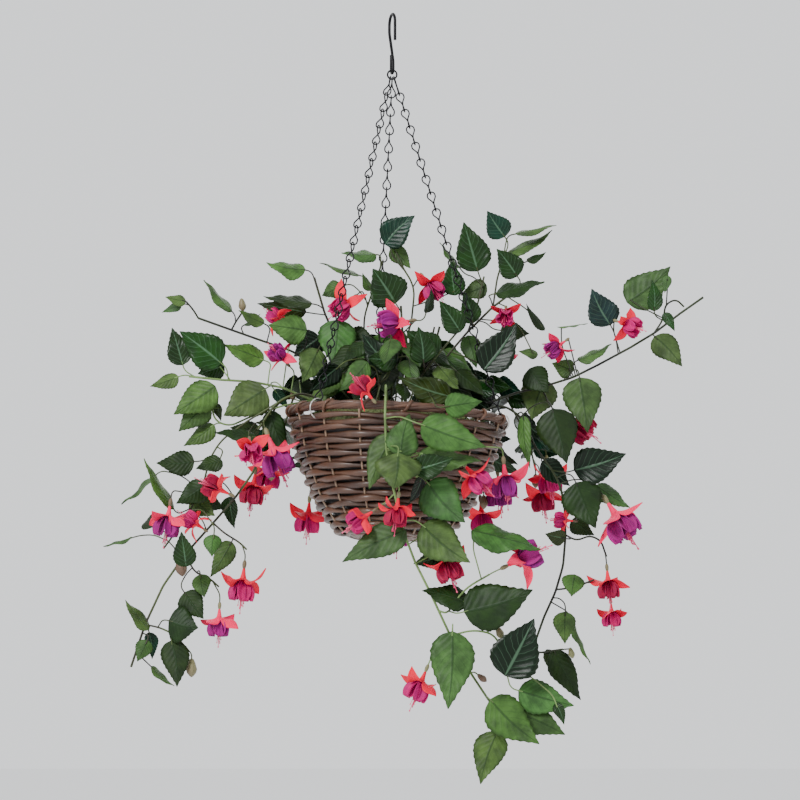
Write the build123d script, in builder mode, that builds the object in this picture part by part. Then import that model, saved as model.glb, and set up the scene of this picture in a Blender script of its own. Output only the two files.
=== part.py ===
from build123d import *
from math import cos, radians, sin, sqrt, tan
import os

import numpy as np

# A round woven hanging basket, planted with trailing fuchsia sprays, on a three-leg chain and hook.
# Millimetres. The origin is the seat of the hook, the point that a bracket carries. +Z is up,
# +X is to the right and the planting's best side faces -Y.

# --- driving dimensions -------------------------------------------------------------------------
HANG_DROP = 467.0  # hook seat down to the centre of the basket's mouth
MOUTH_OFFSET_X = 6.0  # the loaded basket settles a little to the right of the hook
BASKET_TILT = 3.0  # degrees, right side low, as the load hangs

WALL_PROFILE = [(122.5, -5.0), (111.0, -50.0), (88.5, -100.0), (69.0, -126.0), (57.0, -137.0)]
WALL_THICKNESS = 5.0
BASE_THICKNESS = 5.0
BORDER_ROD = 5.0
BORDER_RADIUS = 120.0
BORDER_RODS = [(-2.6, -2.3), (2.6, -2.3), (0.0, 2.0)]  # about the border radius, and height
STAKE_COUNT = 16
STAKE_DIAMETER = 3.2
STAKE_TURN = 2.5
LINER_THICKNESS = 0.8
FIT_GAP = 0.4
FOAM_TOP = -17.0
MOSS_CROWN = 12.0
MOSS_STEPS = [0.0, 0.25, 0.5, 0.7, 0.85, 0.95, 1.0]

HOOK_WIRE = 3.4
HOOK_ARCH_RADIUS = 11.2
HOOK_TIP_DROP = 33.0
HOOK_SHANK_BEND = 20.0
HOOK_EYE_RADIUS = 4.2
HOOK_EYE_DROP = 63.5
HOOK_EYE_FILLET = 4.05
HOOK_RETURN_X = -3.8
HOOK_RETURN_RISE = 18.0  # the wire folds round the eye and runs this far back up the shank
HOOK_TURN = -73.0  # degrees, the direction in plan that the hook's tip points to
RING_WIRE = 2.0
RING_RADIUS = 5.3
WIRE_GAP = 0.8

CHAIN_WIRE = 1.6
LINK_PITCH = 20.8
LINK_HALF_WIDTH = 4.4
LINK_CORNER_RADIUS = 3.9
LINK_LOOP_SIDE = 6.3  # length of a link's loop before its wires close in to the waist
LINK_WAIST = 1.25
LINK_BUTT_GAP = 0.3
RIM_RING_WIRE = 1.6
RIM_RING_RADIUS = 11.0
RIM_RING_DROP = 3.6
ANCHORS = {"left": 223.0, "rear": 103.0, "right": -17.0}  # degrees round the mouth
UPPER_LOOPS = {"left": 70.0, "rear": 90.0, "right": 0.0}  # plane of each leg's upper loops
LEG_SLOTS = {"left": -2.2, "rear": 0.0, "right": 2.2}  # places of the legs along the ring

STEM_DIAMETER = 2.6
SIDE_STEM_DIAMETER = 2.1
TWIG_DIAMETER = 1.5
PETIOLE_LAP = 5.0  # a petiole runs this far under its blade
PETIOLE_STEP = 10.0  # and leaves the stem this far back towards the root
PETIOLE_BOW = 0.12
BLADE_THICKNESS = 0.6
BLADE_EDGE_TAPER = 20.0
BLADE_OUTLINE = [(0.0, 0.0), (0.1, 0.3), (0.3, 0.5), (0.5, 0.47), (0.75, 0.26), (1.0, 0.0)]

OVARY_LENGTH = 9.0
TUBE_LENGTH = 12.0
SEPAL_LENGTH = 26.0
SEPAL_WIDTH = 10.0
SEPAL_THICKNESS = 0.8
SEPAL_SPREAD = 78.0  # degrees from the flower's axis
SEPAL_COUNT = 4
COROLLA_LENGTH = 21.0
COROLLA_RADIUS = 10.5
STYLE_LENGTH = 14.0
STYLE_DIAMETER = 1.2
FLOWER_LENGTH = OVARY_LENGTH + TUBE_LENGTH + COROLLA_LENGTH
PETAL_GAP = 0.3
BUD_SLENDERNESS = 0.3

MOUND_SLOPE = 0.11  # heights in the planting lists are from a plane that rises this much to the rear
MOUND_SPREAD = 3000.0  # and the lists widen by this proportion towards the rear
PETIOLE_LEAD = 9.0
BRANCH_REACH = 12.0  # a side stem starts on the stem before it, if one passes this near
BOW_FROM = 25.0  # a stalk longer than this is bowed
STALK_LAP = 1.5
BORDER_TOP = 4.5
WIRE_MARGIN = 1.2
PLATE_MARGIN = 1.9
OWN_STEM_REACH = 14.0
SAMPLE_STEP = 2.5
DEPTH_TRIALS = [0, -5, 5, -10, 10, -15, 15, -21, 21, -28, 28, -36, 36, -45, 45, -55, 55, -66, -78]
BLADE_TRIMS = [1.0, 0.85, 0.7]
BACK_BLADE = 46.0
DOME_SHOOTS = 5
DOME_TURN = 31.0
DOME_SETBACK = 22.0
DOME_RADIUS = 74.0
DOME_BLADE = 44.0
DOME_COUNT = 58
GOLDEN_ANGLE = 137.5
ARCHES = {  # each arch is its bearing, reach, rise and drop
    "back_left": [(152.0, 154.0, 44.0, 52.0), (120.0, 154.0, 58.0, 84.0)],
    "back_centre": [(86.0, 156.0, 62.0, 100.0)],
    "back_right": [(54.0, 158.0, 52.0, 84.0), (26.0, 166.0, 44.0, 60.0)],
}

os.makedirs("parts", exist_ok=True)

# --- the basket's own plane, at the centre of its mouth -------------------------------------------
tilt = radians(BASKET_TILT)
mouth = Plane(
    origin=(MOUTH_OFFSET_X, 0, -HANG_DROP), x_dir=(cos(tilt), 0, -sin(tilt)), z_dir=(sin(tilt), 0, cos(tilt))
)
section = Plane(origin=mouth.origin, x_dir=mouth.x_dir, z_dir=-mouth.y_dir)
basket_axis = Axis(mouth.origin, mouth.z_dir)


def save(builder, name):
    builder.part.label = name
    export_step(builder.part, f"parts/{name}.step")


def round_mouth(angle, radius, height):
    """A point of the basket, at an angle round its mouth."""
    turn = radians(angle)
    return mouth.from_local_coords(Vector(radius * cos(turn), radius * sin(turn), height))


def inset_profile(distance):
    """The wall's profile, moved inwards by a distance square to the wall."""
    points = [Vector(*p) for p in WALL_PROFILE]
    moved = []
    for index, point in enumerate(points):
        before = points[max(index - 1, 0)]
        after = points[min(index + 1, len(points) - 1)]
        run = (after - before).normalized()
        moved.append(point + Vector(run.Y, -run.X) * distance)
    return moved


def profile_radius(profile, height):
    """The radius of a profile at a height."""
    radii = [p.X for p in reversed(profile)]
    heights = [p.Y for p in reversed(profile)]
    return float(np.interp(height, heights, radii))


def cut_profile(profile, low, high):
    """The stretch of a profile between two heights, from the top down."""
    inner = [p for p in profile if low < p.Y < high]
    top = Vector(profile_radius(profile, high), high)
    bottom = Vector(profile_radius(profile, low), low)
    return [top, *inner, bottom]


def spin(points):
    """Adds the solid that a closed outline makes about the basket's axis."""
    with BuildSketch(section) as outline:
        Polygon(*[(p.X, p.Y) for p in points], align=None)
    revolve(outline.sketch, axis=basket_axis)


def bend_radii(points, share=0.45, largest=60.0):
    """As large an arc at each corner as its shorter run allows."""
    radii = []
    for before, here, after in zip(points, points[1:], points[2:]):
        run = min((here - before).length, (after - here).length)
        half_turn = radians((here - before).get_angle(after - here)) / 2
        radii.append(min(share * run / tan(half_turn), largest))
    return radii


def wire_route(points, radii=None):
    """The centre line of a wire: straight runs joined by tangent arcs."""
    with BuildLine() as route:
        if len(points) == 2:
            Line(*points)
        else:
            FilletPolyline(*points, radius=radii or bend_radii(points))
    return route.wire()


def round_wire(points, diameter, radii=None):
    """Adds a round wire along such a route."""
    route = wire_route(points, radii)
    with BuildSketch(Plane(origin=points[0], z_dir=points[1] - points[0])) as end:
        Circle(diameter / 2)
    sweep(end.sketch, path=route)


# --- hook and top ring --------------------------------------------------------------------------
turn = radians(HOOK_TURN)
hook_plane = Plane(
    origin=(0, 0, HOOK_WIRE / 2), x_dir=(cos(turn), sin(turn), 0), z_dir=(sin(turn), -cos(turn), 0)
)
eye_height = -HOOK_EYE_DROP - HOOK_WIRE / 2
shank = [
    (-HOOK_ARCH_RADIUS, -HOOK_ARCH_RADIUS),
    (-HOOK_ARCH_RADIUS, -HOOK_SHANK_BEND),
    (HOOK_EYE_RADIUS, eye_height + 9.0),
    (HOOK_EYE_RADIUS, eye_height - HOOK_EYE_RADIUS),
    (-HOOK_EYE_RADIUS, eye_height - HOOK_EYE_RADIUS),
    (HOOK_RETURN_X, eye_height + HOOK_RETURN_RISE),
]
with BuildPart() as hook:
    with BuildLine(hook_plane) as hook_route:
        tip_run = Line((HOOK_ARCH_RADIUS, -HOOK_TIP_DROP), (HOOK_ARCH_RADIUS, -HOOK_ARCH_RADIUS))
        CenterArc((0, -HOOK_ARCH_RADIUS), HOOK_ARCH_RADIUS, 0, 180)
        FilletPolyline(*shank, radius=[14.0, 12.0, HOOK_EYE_FILLET, HOOK_EYE_FILLET])
    with BuildSketch(Plane(origin=tip_run @ 0, z_dir=tip_run % 0)):
        Circle(HOOK_WIRE / 2)
    sweep(path=hook_route.wire())
save(hook, "hook")

ring_top = -HOOK_EYE_DROP - HOOK_EYE_RADIUS + (HOOK_WIRE + RING_WIRE) / 2 + WIRE_GAP
ring_centre = Vector(0, 0, ring_top - RING_RADIUS)
with BuildPart() as top_ring:
    with Locations(Plane(origin=ring_centre, z_dir=(0, -1, 0)).location):
        Torus(RING_RADIUS, RING_WIRE / 2)
save(top_ring, "top_ring")


# --- three chain legs and their rings at the rim ---------------------------------------------------
def chain_link(top, bottom, upper_turn, lower_turn):
    """One bent wire link: a loop at each end, in its own plane, and a narrow waist between them."""
    along = (top - bottom).normalized()
    side_run = along * LINK_LOOP_SIDE
    middle = (top + bottom) / 2

    def across(angle):
        way = Vector(cos(radians(angle)), sin(radians(angle)), 0)
        return (way - along * way.dot(along)).normalized() * LINK_HALF_WIDTH

    a, b = across(upper_turn), across(lower_turn)
    end = a.normalized() * (LINK_BUTT_GAP / 2)
    waist = (a + b).normalized() * LINK_WAIST
    down = [top - end, top - a, top - side_run - a, middle - waist, bottom + side_run - b, bottom - b]
    back = [bottom + b, bottom + side_run + b, middle + waist, top - side_run + a, top + a, top + end]
    round_wire(down + back, CHAIN_WIRE, [LINK_CORNER_RADIUS] * 10)


def rim_ring_plane(angle):
    """A rim ring stands upright, goes round the border and through the weave below it."""
    centre = round_mouth(angle, BORDER_RADIUS, -RIM_RING_DROP)
    outward = (round_mouth(angle, 1.0, 0.0) - mouth.origin).normalized()
    return Plane(origin=centre, x_dir=outward, z_dir=outward.cross(mouth.z_dir))


chain_lines = []
for side, angle in ANCHORS.items():
    slot = LEG_SLOTS[side]
    ring_wire_height = ring_centre.Z - sqrt(RING_RADIUS**2 - slot**2)
    start = Vector(slot, 0, ring_wire_height + RING_WIRE / 2)
    ring_plane = rim_ring_plane(angle)
    finish = ring_plane.origin + mouth.z_dir * (RIM_RING_RADIUS - RIM_RING_WIRE / 2)
    leg = finish - start
    count = round(leg.length / LINK_PITCH)
    step = leg / count
    hold = leg.normalized() * ((CHAIN_WIRE + WIRE_GAP) / 2)
    upper = UPPER_LOOPS[side]
    with BuildPart() as chain:
        for index in range(count):
            link_top = start + step * index - hold
            link_bottom = start + step * (index + 1) + hold
            chain_link(link_top, link_bottom, 90.0 if index == 0 else upper, upper + 90.0)
    save(chain, f"chain_{side}")
    chain_lines.append((start, finish))

    with BuildPart() as rim_ring:
        with Locations(ring_plane.location):
            Torus(RIM_RING_RADIUS, RIM_RING_WIRE / 2)
    save(rim_ring, f"rim_ring_{side}")
    print("chain", side, "links", count, "solids", len(chain.part.solids()), "leg", round(leg.length))


# --- basket -------------------------------------------------------------------------------------
wall_outside = [Vector(*p) for p in WALL_PROFILE]
wall_top, wall_foot = WALL_PROFILE[0][1], WALL_PROFILE[-1][1]
wall_inside = cut_profile(inset_profile(WALL_THICKNESS), wall_foot, wall_top)
base_top = WALL_PROFILE[-1][1] + BASE_THICKNESS
with BuildPart() as basket_wall:
    spin([*wall_outside, *reversed(wall_inside)])
    for angle in ANCHORS.values():
        with Locations(rim_ring_plane(angle).location):
            Torus(RIM_RING_RADIUS, RIM_RING_WIRE / 2 + FIT_GAP, mode=Mode.SUBTRACT)
save(basket_wall, "basket_wall")

base_radius = wall_inside[-1].X - FIT_GAP
with BuildPart() as basket_base:
    spin([
        Vector(0, WALL_PROFILE[-1][1]),
        Vector(base_radius, WALL_PROFILE[-1][1]),
        Vector(base_radius, base_top),
        Vector(0, base_top),
    ])
save(basket_base, "basket_base")

with BuildPart() as rim_border:
    for offset_in, height in BORDER_RODS:
        rod_centre = mouth.from_local_coords(Vector(0, 0, height))
        with Locations(Plane(origin=rod_centre, x_dir=mouth.x_dir, z_dir=mouth.z_dir).location):
            Torus(BORDER_RADIUS + offset_in, BORDER_ROD / 2)
save(rim_border, "rim_border")

stake_line = inset_profile(WALL_THICKNESS + FIT_GAP + STAKE_DIAMETER / 2)
with BuildPart() as stakes:
    for index in range(STAKE_COUNT):
        angle = STAKE_TURN + 360.0 / STAKE_COUNT * index
        upright = cut_profile(stake_line, base_top + 3.0, -8.0)
        round_wire([round_mouth(angle, p.X, p.Y) for p in upright], STAKE_DIAMETER)
save(stakes, "stakes")

stake_room = WALL_THICKNESS + STAKE_DIAMETER + 2 * FIT_GAP
liner_low = base_top + FIT_GAP
liner_outside = cut_profile(inset_profile(stake_room), liner_low, FOAM_TOP)
liner_inside = cut_profile(inset_profile(stake_room + LINER_THICKNESS), liner_low + LINER_THICKNESS, FOAM_TOP)
with BuildPart() as liner:
    spin([
        *liner_outside, Vector(0, liner_low), Vector(0, liner_low + LINER_THICKNESS), *reversed(liner_inside)
    ])
save(liner, "liner")

fill_profile = inset_profile(stake_room + LINER_THICKNESS + FIT_GAP)
foam_low = liner_low + LINER_THICKNESS + FIT_GAP
with BuildPart() as foam_block:
    spin([*cut_profile(fill_profile, foam_low, FOAM_TOP), Vector(0, foam_low), Vector(0, FOAM_TOP)])
save(foam_block, "foam_block")

moss_low = FOAM_TOP + FIT_GAP
moss_edge = profile_radius(fill_profile, moss_low)
dome = [moss_edge * sqrt(1 - share**2) for share in MOSS_STEPS]
rise = [moss_low + (MOSS_CROWN - moss_low) * share for share in MOSS_STEPS]
with BuildPart() as moss:
    spin([Vector(0, moss_low), *[Vector(radius, height) for radius, height in zip(dome, rise)]])
save(moss, "moss")


# --- planting -----------------------------------------------------------------------------------
# Each spray has its stems, from the root out, then its blades, flowers and buds. Points are
# (x, y, height) from the centre of the mouth. A blade is base, tip, width and turn: at turn 0 its
# upper side faces the front, at 90 it lies edge on with its upper side up, at 180 its underside
# shows. A flower is the top of its ovary and the mouth of its corolla. A bud is its top and tip.
SPRAYS = {
    "left_long": {
        "stems": [
            [(-24, 14, -40), (-46, 14, 10), (-80, 6, 52), (-120, 0, 76), (-160, -4, 90), (-188, -6, 100),
             (-227, -8, 114)],
            [(-227, -8, 114), (-233, -12, 124), (-241, -16, 133)],
            [(-188, -6, 100), (-184, -10, 110), (-176, -14, 122)],
        ],
        "blades": [
            ((-188, -8, 122), (-222, -16, 157), 22, 55),
            ((-241, -16, 134), (-265, -24, 138), 15, 20),
            ((-246, -14, 129), (-268, -8, 120), 12, 200),
            ((-152, -20, 108), (-181, -26, 123), 16, 20),
            ((-103, -22, 100), (-147, -30, 106), 36, 10),
            ((-176, -2, 106), (-156, 6, 118), 14, 60),
        ],
        "flowers": [],
        "buds": [((-176, -14, 122), (-178, -16, 137))],
    },
    "top_left": {
        "stems": [
            [(-16, 40, -40), (-40, 28, 30), (-66, 16, 80), (-83, 8, 120), (-95, 2, 161)],
            [(-16, 40, -40), (-38, 38, 60), (-38, 34, 116), (-28, 28, 146), (-17, 26, 180)],
        ],
        "blades": [
            ((-105, 0, 170), (-150, -6, 177), 30, 40),
            ((-97, -6, 131), (-153, -12, 139), 28, 50),
            ((-104, -2, 121), (-160, -4, 130), 24, 150),
            ((-68, -24, 112), (-73, -40, 58), 44, 5),
            ((-62, 22, 151), (-86, 18, 140), 24, 10),
            ((-43, 22, 164), (-89, 14, 178), 22, 65),
            ((-24, 20, 188), (-64, 10, 188), 30, 50),
            ((-30, 12, 146), (-40, 4, 166), 14, 40),
            ((-58, 8, 92), (-24, -4, 84), 30, 0),
            ((-88, 20, 92), (-118, 26, 70), 34, 0),
            ((-90, -22, 78), (-108, -38, 40), 34, 175),
        ],
        "flowers": [((-46, 2, 141), (-70, -18, 120))],
        "buds": [],
    },
    "crown": {
        "stems": [
            [(-8, -6, -40), (-6, -8, 40), (6, -10, 96), (4, -8, 128)],
            [(-8, -6, -40), (2, 14, 60), (16, 22, 110), (20, 24, 150), (4, 22, 176)],
            [(-8, -6, -40), (22, -30, 40), (46, -34, 72), (70, -30, 100)],
            [(-8, -6, -40), (-22, -40, 20), (-20, -54, 48)],
        ],
        "blades": [
            ((54, -124, 12), (96, -116, 18), 28, 178),
            ((-14, 24, 199), (19, 14, 233), 36, 5),
            ((-6, 26, 196), (15, 20, 172), 22, 10),
            ((-2, -18, 131), (-28, -26, 171), 46, 180),
            ((12, -30, 86), (-28, -40, 92), 32, 10),
            ((-2, -52, 66), (-34, -60, 68), 28, 175),
            ((46, -44, 72), (10, -50, 100), 36, 178),
            ((72, -34, 98), (48, -40, 134), 28, 180),
            ((66, -22, 140), (62, -26, 180), 28, 175),
            ((30, -52, 62), (24, -62, 104), 30, 180),
            ((-34, -56, 64), (-66, -66, 30), 26, 5),
            ((60, -96, 24), (2, -102, 46), 32, 170),
            ((-4, -44, 56), (-40, -46, 96), 34, 0),
            ((20, -36, 48), (52, -50, 30), 30, 0),
            ((32, -8, 120), (40, -14, 148), 20, 120),
        ],
        "flowers": [
            ((26, 6, 166), (46, -8, 140)),
            ((22, -2, 112), (-20, -12, 106)),
            ((-24, -138, 16), (-46, -148, 42)),
        ],
        "buds": [],
    },
    "top_right": {
        "stems": [
            [(34, 20, -40), (44, 16, 40), (56, 10, 70), (80, 4, 98), (108, 0, 126), (137, -2, 148)],
            [(80, 4, 98), (92, 6, 132), (99, 6, 162)],
            [(108, 0, 126), (114, 4, 160), (124, 4, 192)],
        ],
        "blades": [
            ((92, 0, 168), (76, -8, 225), 40, 180),
            ((72, 12, 172), (48, 8, 201), 18, 60),
            ((123, 0, 208), (103, -6, 238), 30, 0),
            ((135, 4, 212), (182, 0, 222), 22, 60),
            ((126, 12, 190), (178, 14, 213), 24, 50),
            ((137, -12, 162), (114, -18, 194), 30, 180),
            ((112, -8, 143), (168, -16, 156), 34, 50),
            ((148, 6, 180), (170, 10, 190), 12, 30),
            ((102, 10, 152), (72, 16, 140), 24, 10),
            ((86, -18, 108), (75, -24, 144), 24, 180),
            ((98, -30, 54), (136, -36, 109), 42, 5),
            ((80, -38, 94), (90, -44, 56), 24, 178),
            ((168, 2, 100), (146, -2, 130), 12, 30),
            ((160, -14, 72), (138, -14, 76), 14, 30),
            ((118, 20, 100), (150, 26, 96), 26, 0),
        ],
        "flowers": [
            ((124, 0, 128), (122, -26, 112)),
            ((131, -20, 92), (114, -32, 66)),
        ],
        "buds": [((136, 0, 148), (150, -2, 150))],
    },
    "right_long": {
        "stems": [
            [(44, -4, -40), (62, -4, -2), (90, -6, 12), (135, -8, 28), (168, -10, 36), (200, -12, 46),
             (228, -12, 60), (265, -12, 80), (293, -12, 97), (322, -12, 119), (349, -12, 138)],
            [(293, -12, 97), (303, -14, 112), (306, -16, 130), (318, -16, 136), (327, -14, 127)],
        ],
        "blades": [
            ((207, -20, 46), (216, -28, -17), 44, 180),
            ((200, -8, 54), (176, -4, 62), 24, 10),
            ((205, -18, 66), (244, -22, 84), 22, 50),
            ((182, -2, 104), (217, 4, 108), 14, 75),
            ((243, 0, 106), (222, -4, 148), 36, 0),
            ((262, 2, 132), (312, -4, 173), 44, 5),
            ((293, -20, 122), (291, -26, 158), 18, 180),
            ((309, -18, 163), (305, -20, 143), 11, 180),
            ((304, -22, 120), (316, -24, 99), 12, 170),
            ((293, -20, 93), (324, -26, 58), 30, 178),
            ((150, -20, 56), (172, -30, 28), 32, 0),
            ((168, -22, 44), (152, -36, -4), 42, 178),
        ],
        "flowers": [
            ((196, -14, 91), (172, -22, 74)),
            ((246, -16, 112), (274, -34, 102)),
            ((180, -26, 8), (218, -34, -20)),
        ],
        "buds": [],
    },
    "left_mid": {
        "stems": [
            [(-52, -6, -40), (-68, -8, 0), (-98, -10, 20), (-130, -12, 34), (-165, -14, 41), (-200, -14, 43),
             (-237, -14, 47)],
            [(-98, -10, 20), (-128, -14, 14), (-160, -16, 4), (-190, -16, -10), (-207, -18, -4),
             (-214, -18, 26)],
        ],
        "blades": [
            ((-244, -18, 60), (-257, -22, 103), 28, 0),
            ((-249, -12, 47), (-281, -16, 35), 20, 20),
            ((-200, -20, 62), (-248, -26, 99), 42, 0),
            ((-197, -8, 60), (-227, -8, 50), 26, 175),
            ((-207, -24, 36), (-254, -34, 4), 40, 10),
            ((-214, -30, 13), (-248, -36, -16), 30, 178),
            ((-208, -20, -8), (-242, -24, -33), 24, 20),
            ((-152, -8, 66), (-198, -12, 82), 30, 30),
            ((-150, -26, 33), (-197, -36, 2), 46, 5),
            ((-204, -6, 16), (-200, -2, -4), 12, 150),
            ((-140, -6, 32), (-124, -2, 10), 14, 0),
            ((-112, -26, 44), (-104, -34, 14), 26, 0),
            ((-146, -40, 8), (-124, -46, -44), 26, 5),
        ],
        "flowers": [
            ((-122, -12, 58), (-141, -34, 78)),
            ((-126, 6, 104), (-146, 12, 120)),
        ],
        "buds": [((-118, 2, 20), (-120, -4, 30))],
    },
    "left_cluster": {
        "stems": [
            [(-50, -26, -40), (-72, -34, 8), (-104, -38, 30), (-136, -40, 20), (-158, -40, -14)],
            [(-136, -40, 20), (-170, -36, -4), (-200, -30, -26), (-213, -26, -48), (-220, -24, -78),
             (-240, -22, -116), (-264, -20, -149)],
        ],
        "blades": [
            ((-156, -30, -14), (-190, -36, -12), 24, 20),
            ((-160, -52, -22), (-208, -60, -18), 18, 30),
            ((-198, -40, -50), (-228, -46, -59), 22, 20),
            ((-216, -36, -76), (-250, -42, -98), 28, 0),
            ((-232, -44, -90), (-206, -50, -112), 28, 178),
            ((-230, -18, -50), (-273, -22, -52), 30, 10),
            ((-252, -30, -104), (-289, -36, -48), 24, 60),
            ((-275, -14, -66), (-311, -12, -100), 20, 65),
            ((-275, -14, -124), (-276, 14, -108), 28, 0),
            ((-238, -34, -169), (-244, -46, -130), 26, 178),
            ((-207, -30, -133), (-209, -36, -158), 20, 175),
            ((-300, -12, -136), (-332, -10, -146), 12, 65),
            ((-222, -12, -90), (-196, -4, -104), 22, 10),
        ],
        "flowers": [
            ((-150, -50, -12), (-131, -58, -62)),
            ((-168, -44, -22), (-164, -72, -46)),
            ((-184, -52, -90), (-218, -62, -74)),
            ((-256, -44, -92), (-262, -48, -134)),
            ((-214, -22, -130), (-240, -30, -112)),
        ],
        "buds": [],
    },
    "left_low": {
        "stems": [
            [(-40, 2, -40), (-74, 4, 6), (-108, 4, 28), (-138, 2, 18), (-150, 0, -30), (-163, 0, -62),
             (-184, -2, -92),
             (-210, -4, -122), (-240, -6, -156), (-264, -8, -191), (-284, -10, -235), (-299, -12, -282)],
            [(-208, -4, -120), (-196, -8, -131), (-178, -10, -142), (-170, -12, -150)],
            [(-240, -6, -156), (-228, -12, -176), (-212, -14, -182), (-201, -16, -192)],
            [(-284, -10, -235), (-266, -14, -238), (-250, -16, -246), (-234, -16, -264)],
        ],
        "blades": [
            ((-187, -16, -141), (-211, -22, -181), 24, 170),
            ((-190, 4, -90), (-184, 8, -126), 22, 150),
            ((-222, -20, -178), (-217, -26, -204), 22, 175),
            ((-240, -22, -198), (-218, -28, -228), 30, 0),
            ((-257, -24, -230), (-224, -32, -238), 42, 0),
            ((-279, -16, -240), (-307, -20, -207), 22, 50),
            ((-279, -6, -243), (-275, -4, -273), 16, 20),
            ((-281, -20, -252), (-292, -26, -276), 20, 178),
            ((-254, -22, -252), (-247, -28, -304), 32, 0),
            ((-276, -12, -281), (-251, -12, -304), 14, 55),
        ],
        "flowers": [
            ((-172, -14, -162), (-176, -16, -207)),
            ((-200, -18, -209), (-201, -20, -247)),
        ],
        "buds": [((-231, -18, -272), (-231, -18, -293)), ((-246, -26, -158), (-242, -28, -180))],
    },
    "front": {
        "stems": [
            [(-10, -50, -40), (-12, -70, 14), (-13, -104, 38), (-13, -134, 34), (-14, -143, 0),
             (-12, -142, -40), (-5, -138, -78),
             (1, -134, -104), (8, -128, -132), (20, -120, -164), (36, -112, -196), (49, -108, -224),
             (64, -106, -256),
             (84, -106, -291), (102, -106, -318), (112, -106, -330)],
            [(46, -109, -218), (56, -114, -222), (76, -118, -194), (104, -120, -178)],
            [(60, -107, -248), (86, -112, -240), (112, -114, -246), (122, -114, -292)],
        ],
        "blades": [
            ((1, -166, -40), (-4, -188, -82), 50, 5),
            ((4, -150, -44), (14, -150, 4), 36, 180),
            ((27, -152, -8), (101, -158, -34), 40, 178),
            ((-2, -146, -18), (-32, -152, -82), 34, 178),
            ((24, -160, -40), (95, -166, -52), 34, 35),
            ((20, -152, -60), (64, -156, -46), 28, 175),
            ((34, -146, -74), (77, -154, -120), 46, 178),
            ((28, -140, -68), (14, -142, -98), 20, 130),
            ((28, -138, -122), (92, -148, -173), 52, 5),
            ((10, -132, -128), (-62, -138, -164), 38, 15),
            ((84, -128, -128), (161, -132, -152), 40, 40),
            ((56, -126, -156), (12, -130, -168), 28, 170),
            ((80, -118, -209), (28, -120, -196), 32, 30),
            ((75, -128, -220), (153, -136, -196), 52, 5),
            ((121, -122, -292), (154, -128, -228), 54, 0),
            ((62, -122, -242), (57, -132, -329), 48, 0),
            ((136, -108, -308), (198, -112, -325), 38, 10),
            ((104, -116, -318), (159, -124, -368), 44, 5),
            ((130, -104, -330), (188, -108, -357), 36, 5),
            ((112, -108, -354), (93, -112, -412), 36, 5),
            ((178, -106, -322), (187, -108, -346), 13, 160),
        ],
        "flowers": [
            ((-22, -136, -103), (-52, -142, -124)),
            ((2, -138, -84), (-2, -144, -122)),
            ((72, -134, -50), (100, -142, -80)),
            ((120, -108, -44), (124, -110, -90)),
            ((46, -120, -142), (62, -124, -184)),
            ((116, -122, -172), (160, -128, -152)),
            ((35, -112, -279), (19, -114, -318)),
        ],
        "buds": [((112, -116, -236), (118, -116, -250)), ((90, -112, -290), (100, -114, -298))],
    },
    "right_low": {
        "stems": [
            [(58, -18, -40), (86, -22, 2), (118, -24, 16), (142, -24, 0), (156, -24, -34), (174, -22, -58),
             (184, -20, -76),
             (189, -18, -100), (190, -16, -134), (187, -16, -168), (178, -16, -198), (165, -18, -226),
             (152, -20, -262), (148, -22, -290)],
            [(190, -16, -134), (202, -20, -140), (218, -22, -134), (230, -22, -140), (236, -22, -158)],
            [(178, -16, -194), (190, -18, -194), (206, -18, -190), (222, -20, -184)],
            [(152, -20, -262), (160, -22, -266), (172, -24, -264), (186, -24, -262)],
        ],
        "blades": [
            ((143, -36, 2), (152, -44, -58), 18, 150),
            ((176, -36, 10), (192, -44, -52), 46, 0),
            ((200, -30, -60), (259, -38, -41), 42, 0),
            ((202, -34, -74), (224, -40, -126), 46, 0),
            ((225, -26, -77), (262, -28, -104), 26, 30),
            ((190, -24, -137), (167, -28, -132), 20, 150),
            ((196, -12, -118), (222, -8, -134), 22, 10),
            ((200, -26, -178), (196, -34, -203), 26, 175),
            ((196, -24, -228), (217, -26, -279), 24, 70),
            ((189, -28, -220), (188, -34, -256), 26, 170),
            ((176, -28, -264), (205, -32, -319), 30, 10),
            ((168, -18, -262), (186, -16, -300), 18, 150),
            ((164, -30, -50), (196, -20, -78), 26, 0),
        ],
        "flowers": [
            ((232, -34, -88), (262, -46, -134)),
            ((204, -22, -118), (178, -26, -116)),
            ((236, -24, -166), (239, -26, -204)),
            ((240, -18, -204), (242, -20, -236)),
        ],
        "buds": [((194, -26, -260), (197, -28, -272))],
    },
}


def spot(place):
    """A place in the planting lists as a point of the whole object."""
    x, y, height = place
    spread = 1 + y / MOUND_SPREAD
    return Vector(MOUTH_OFFSET_X + x * spread, y, -HANG_DROP + height * spread + MOUND_SLOPE * y)


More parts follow.
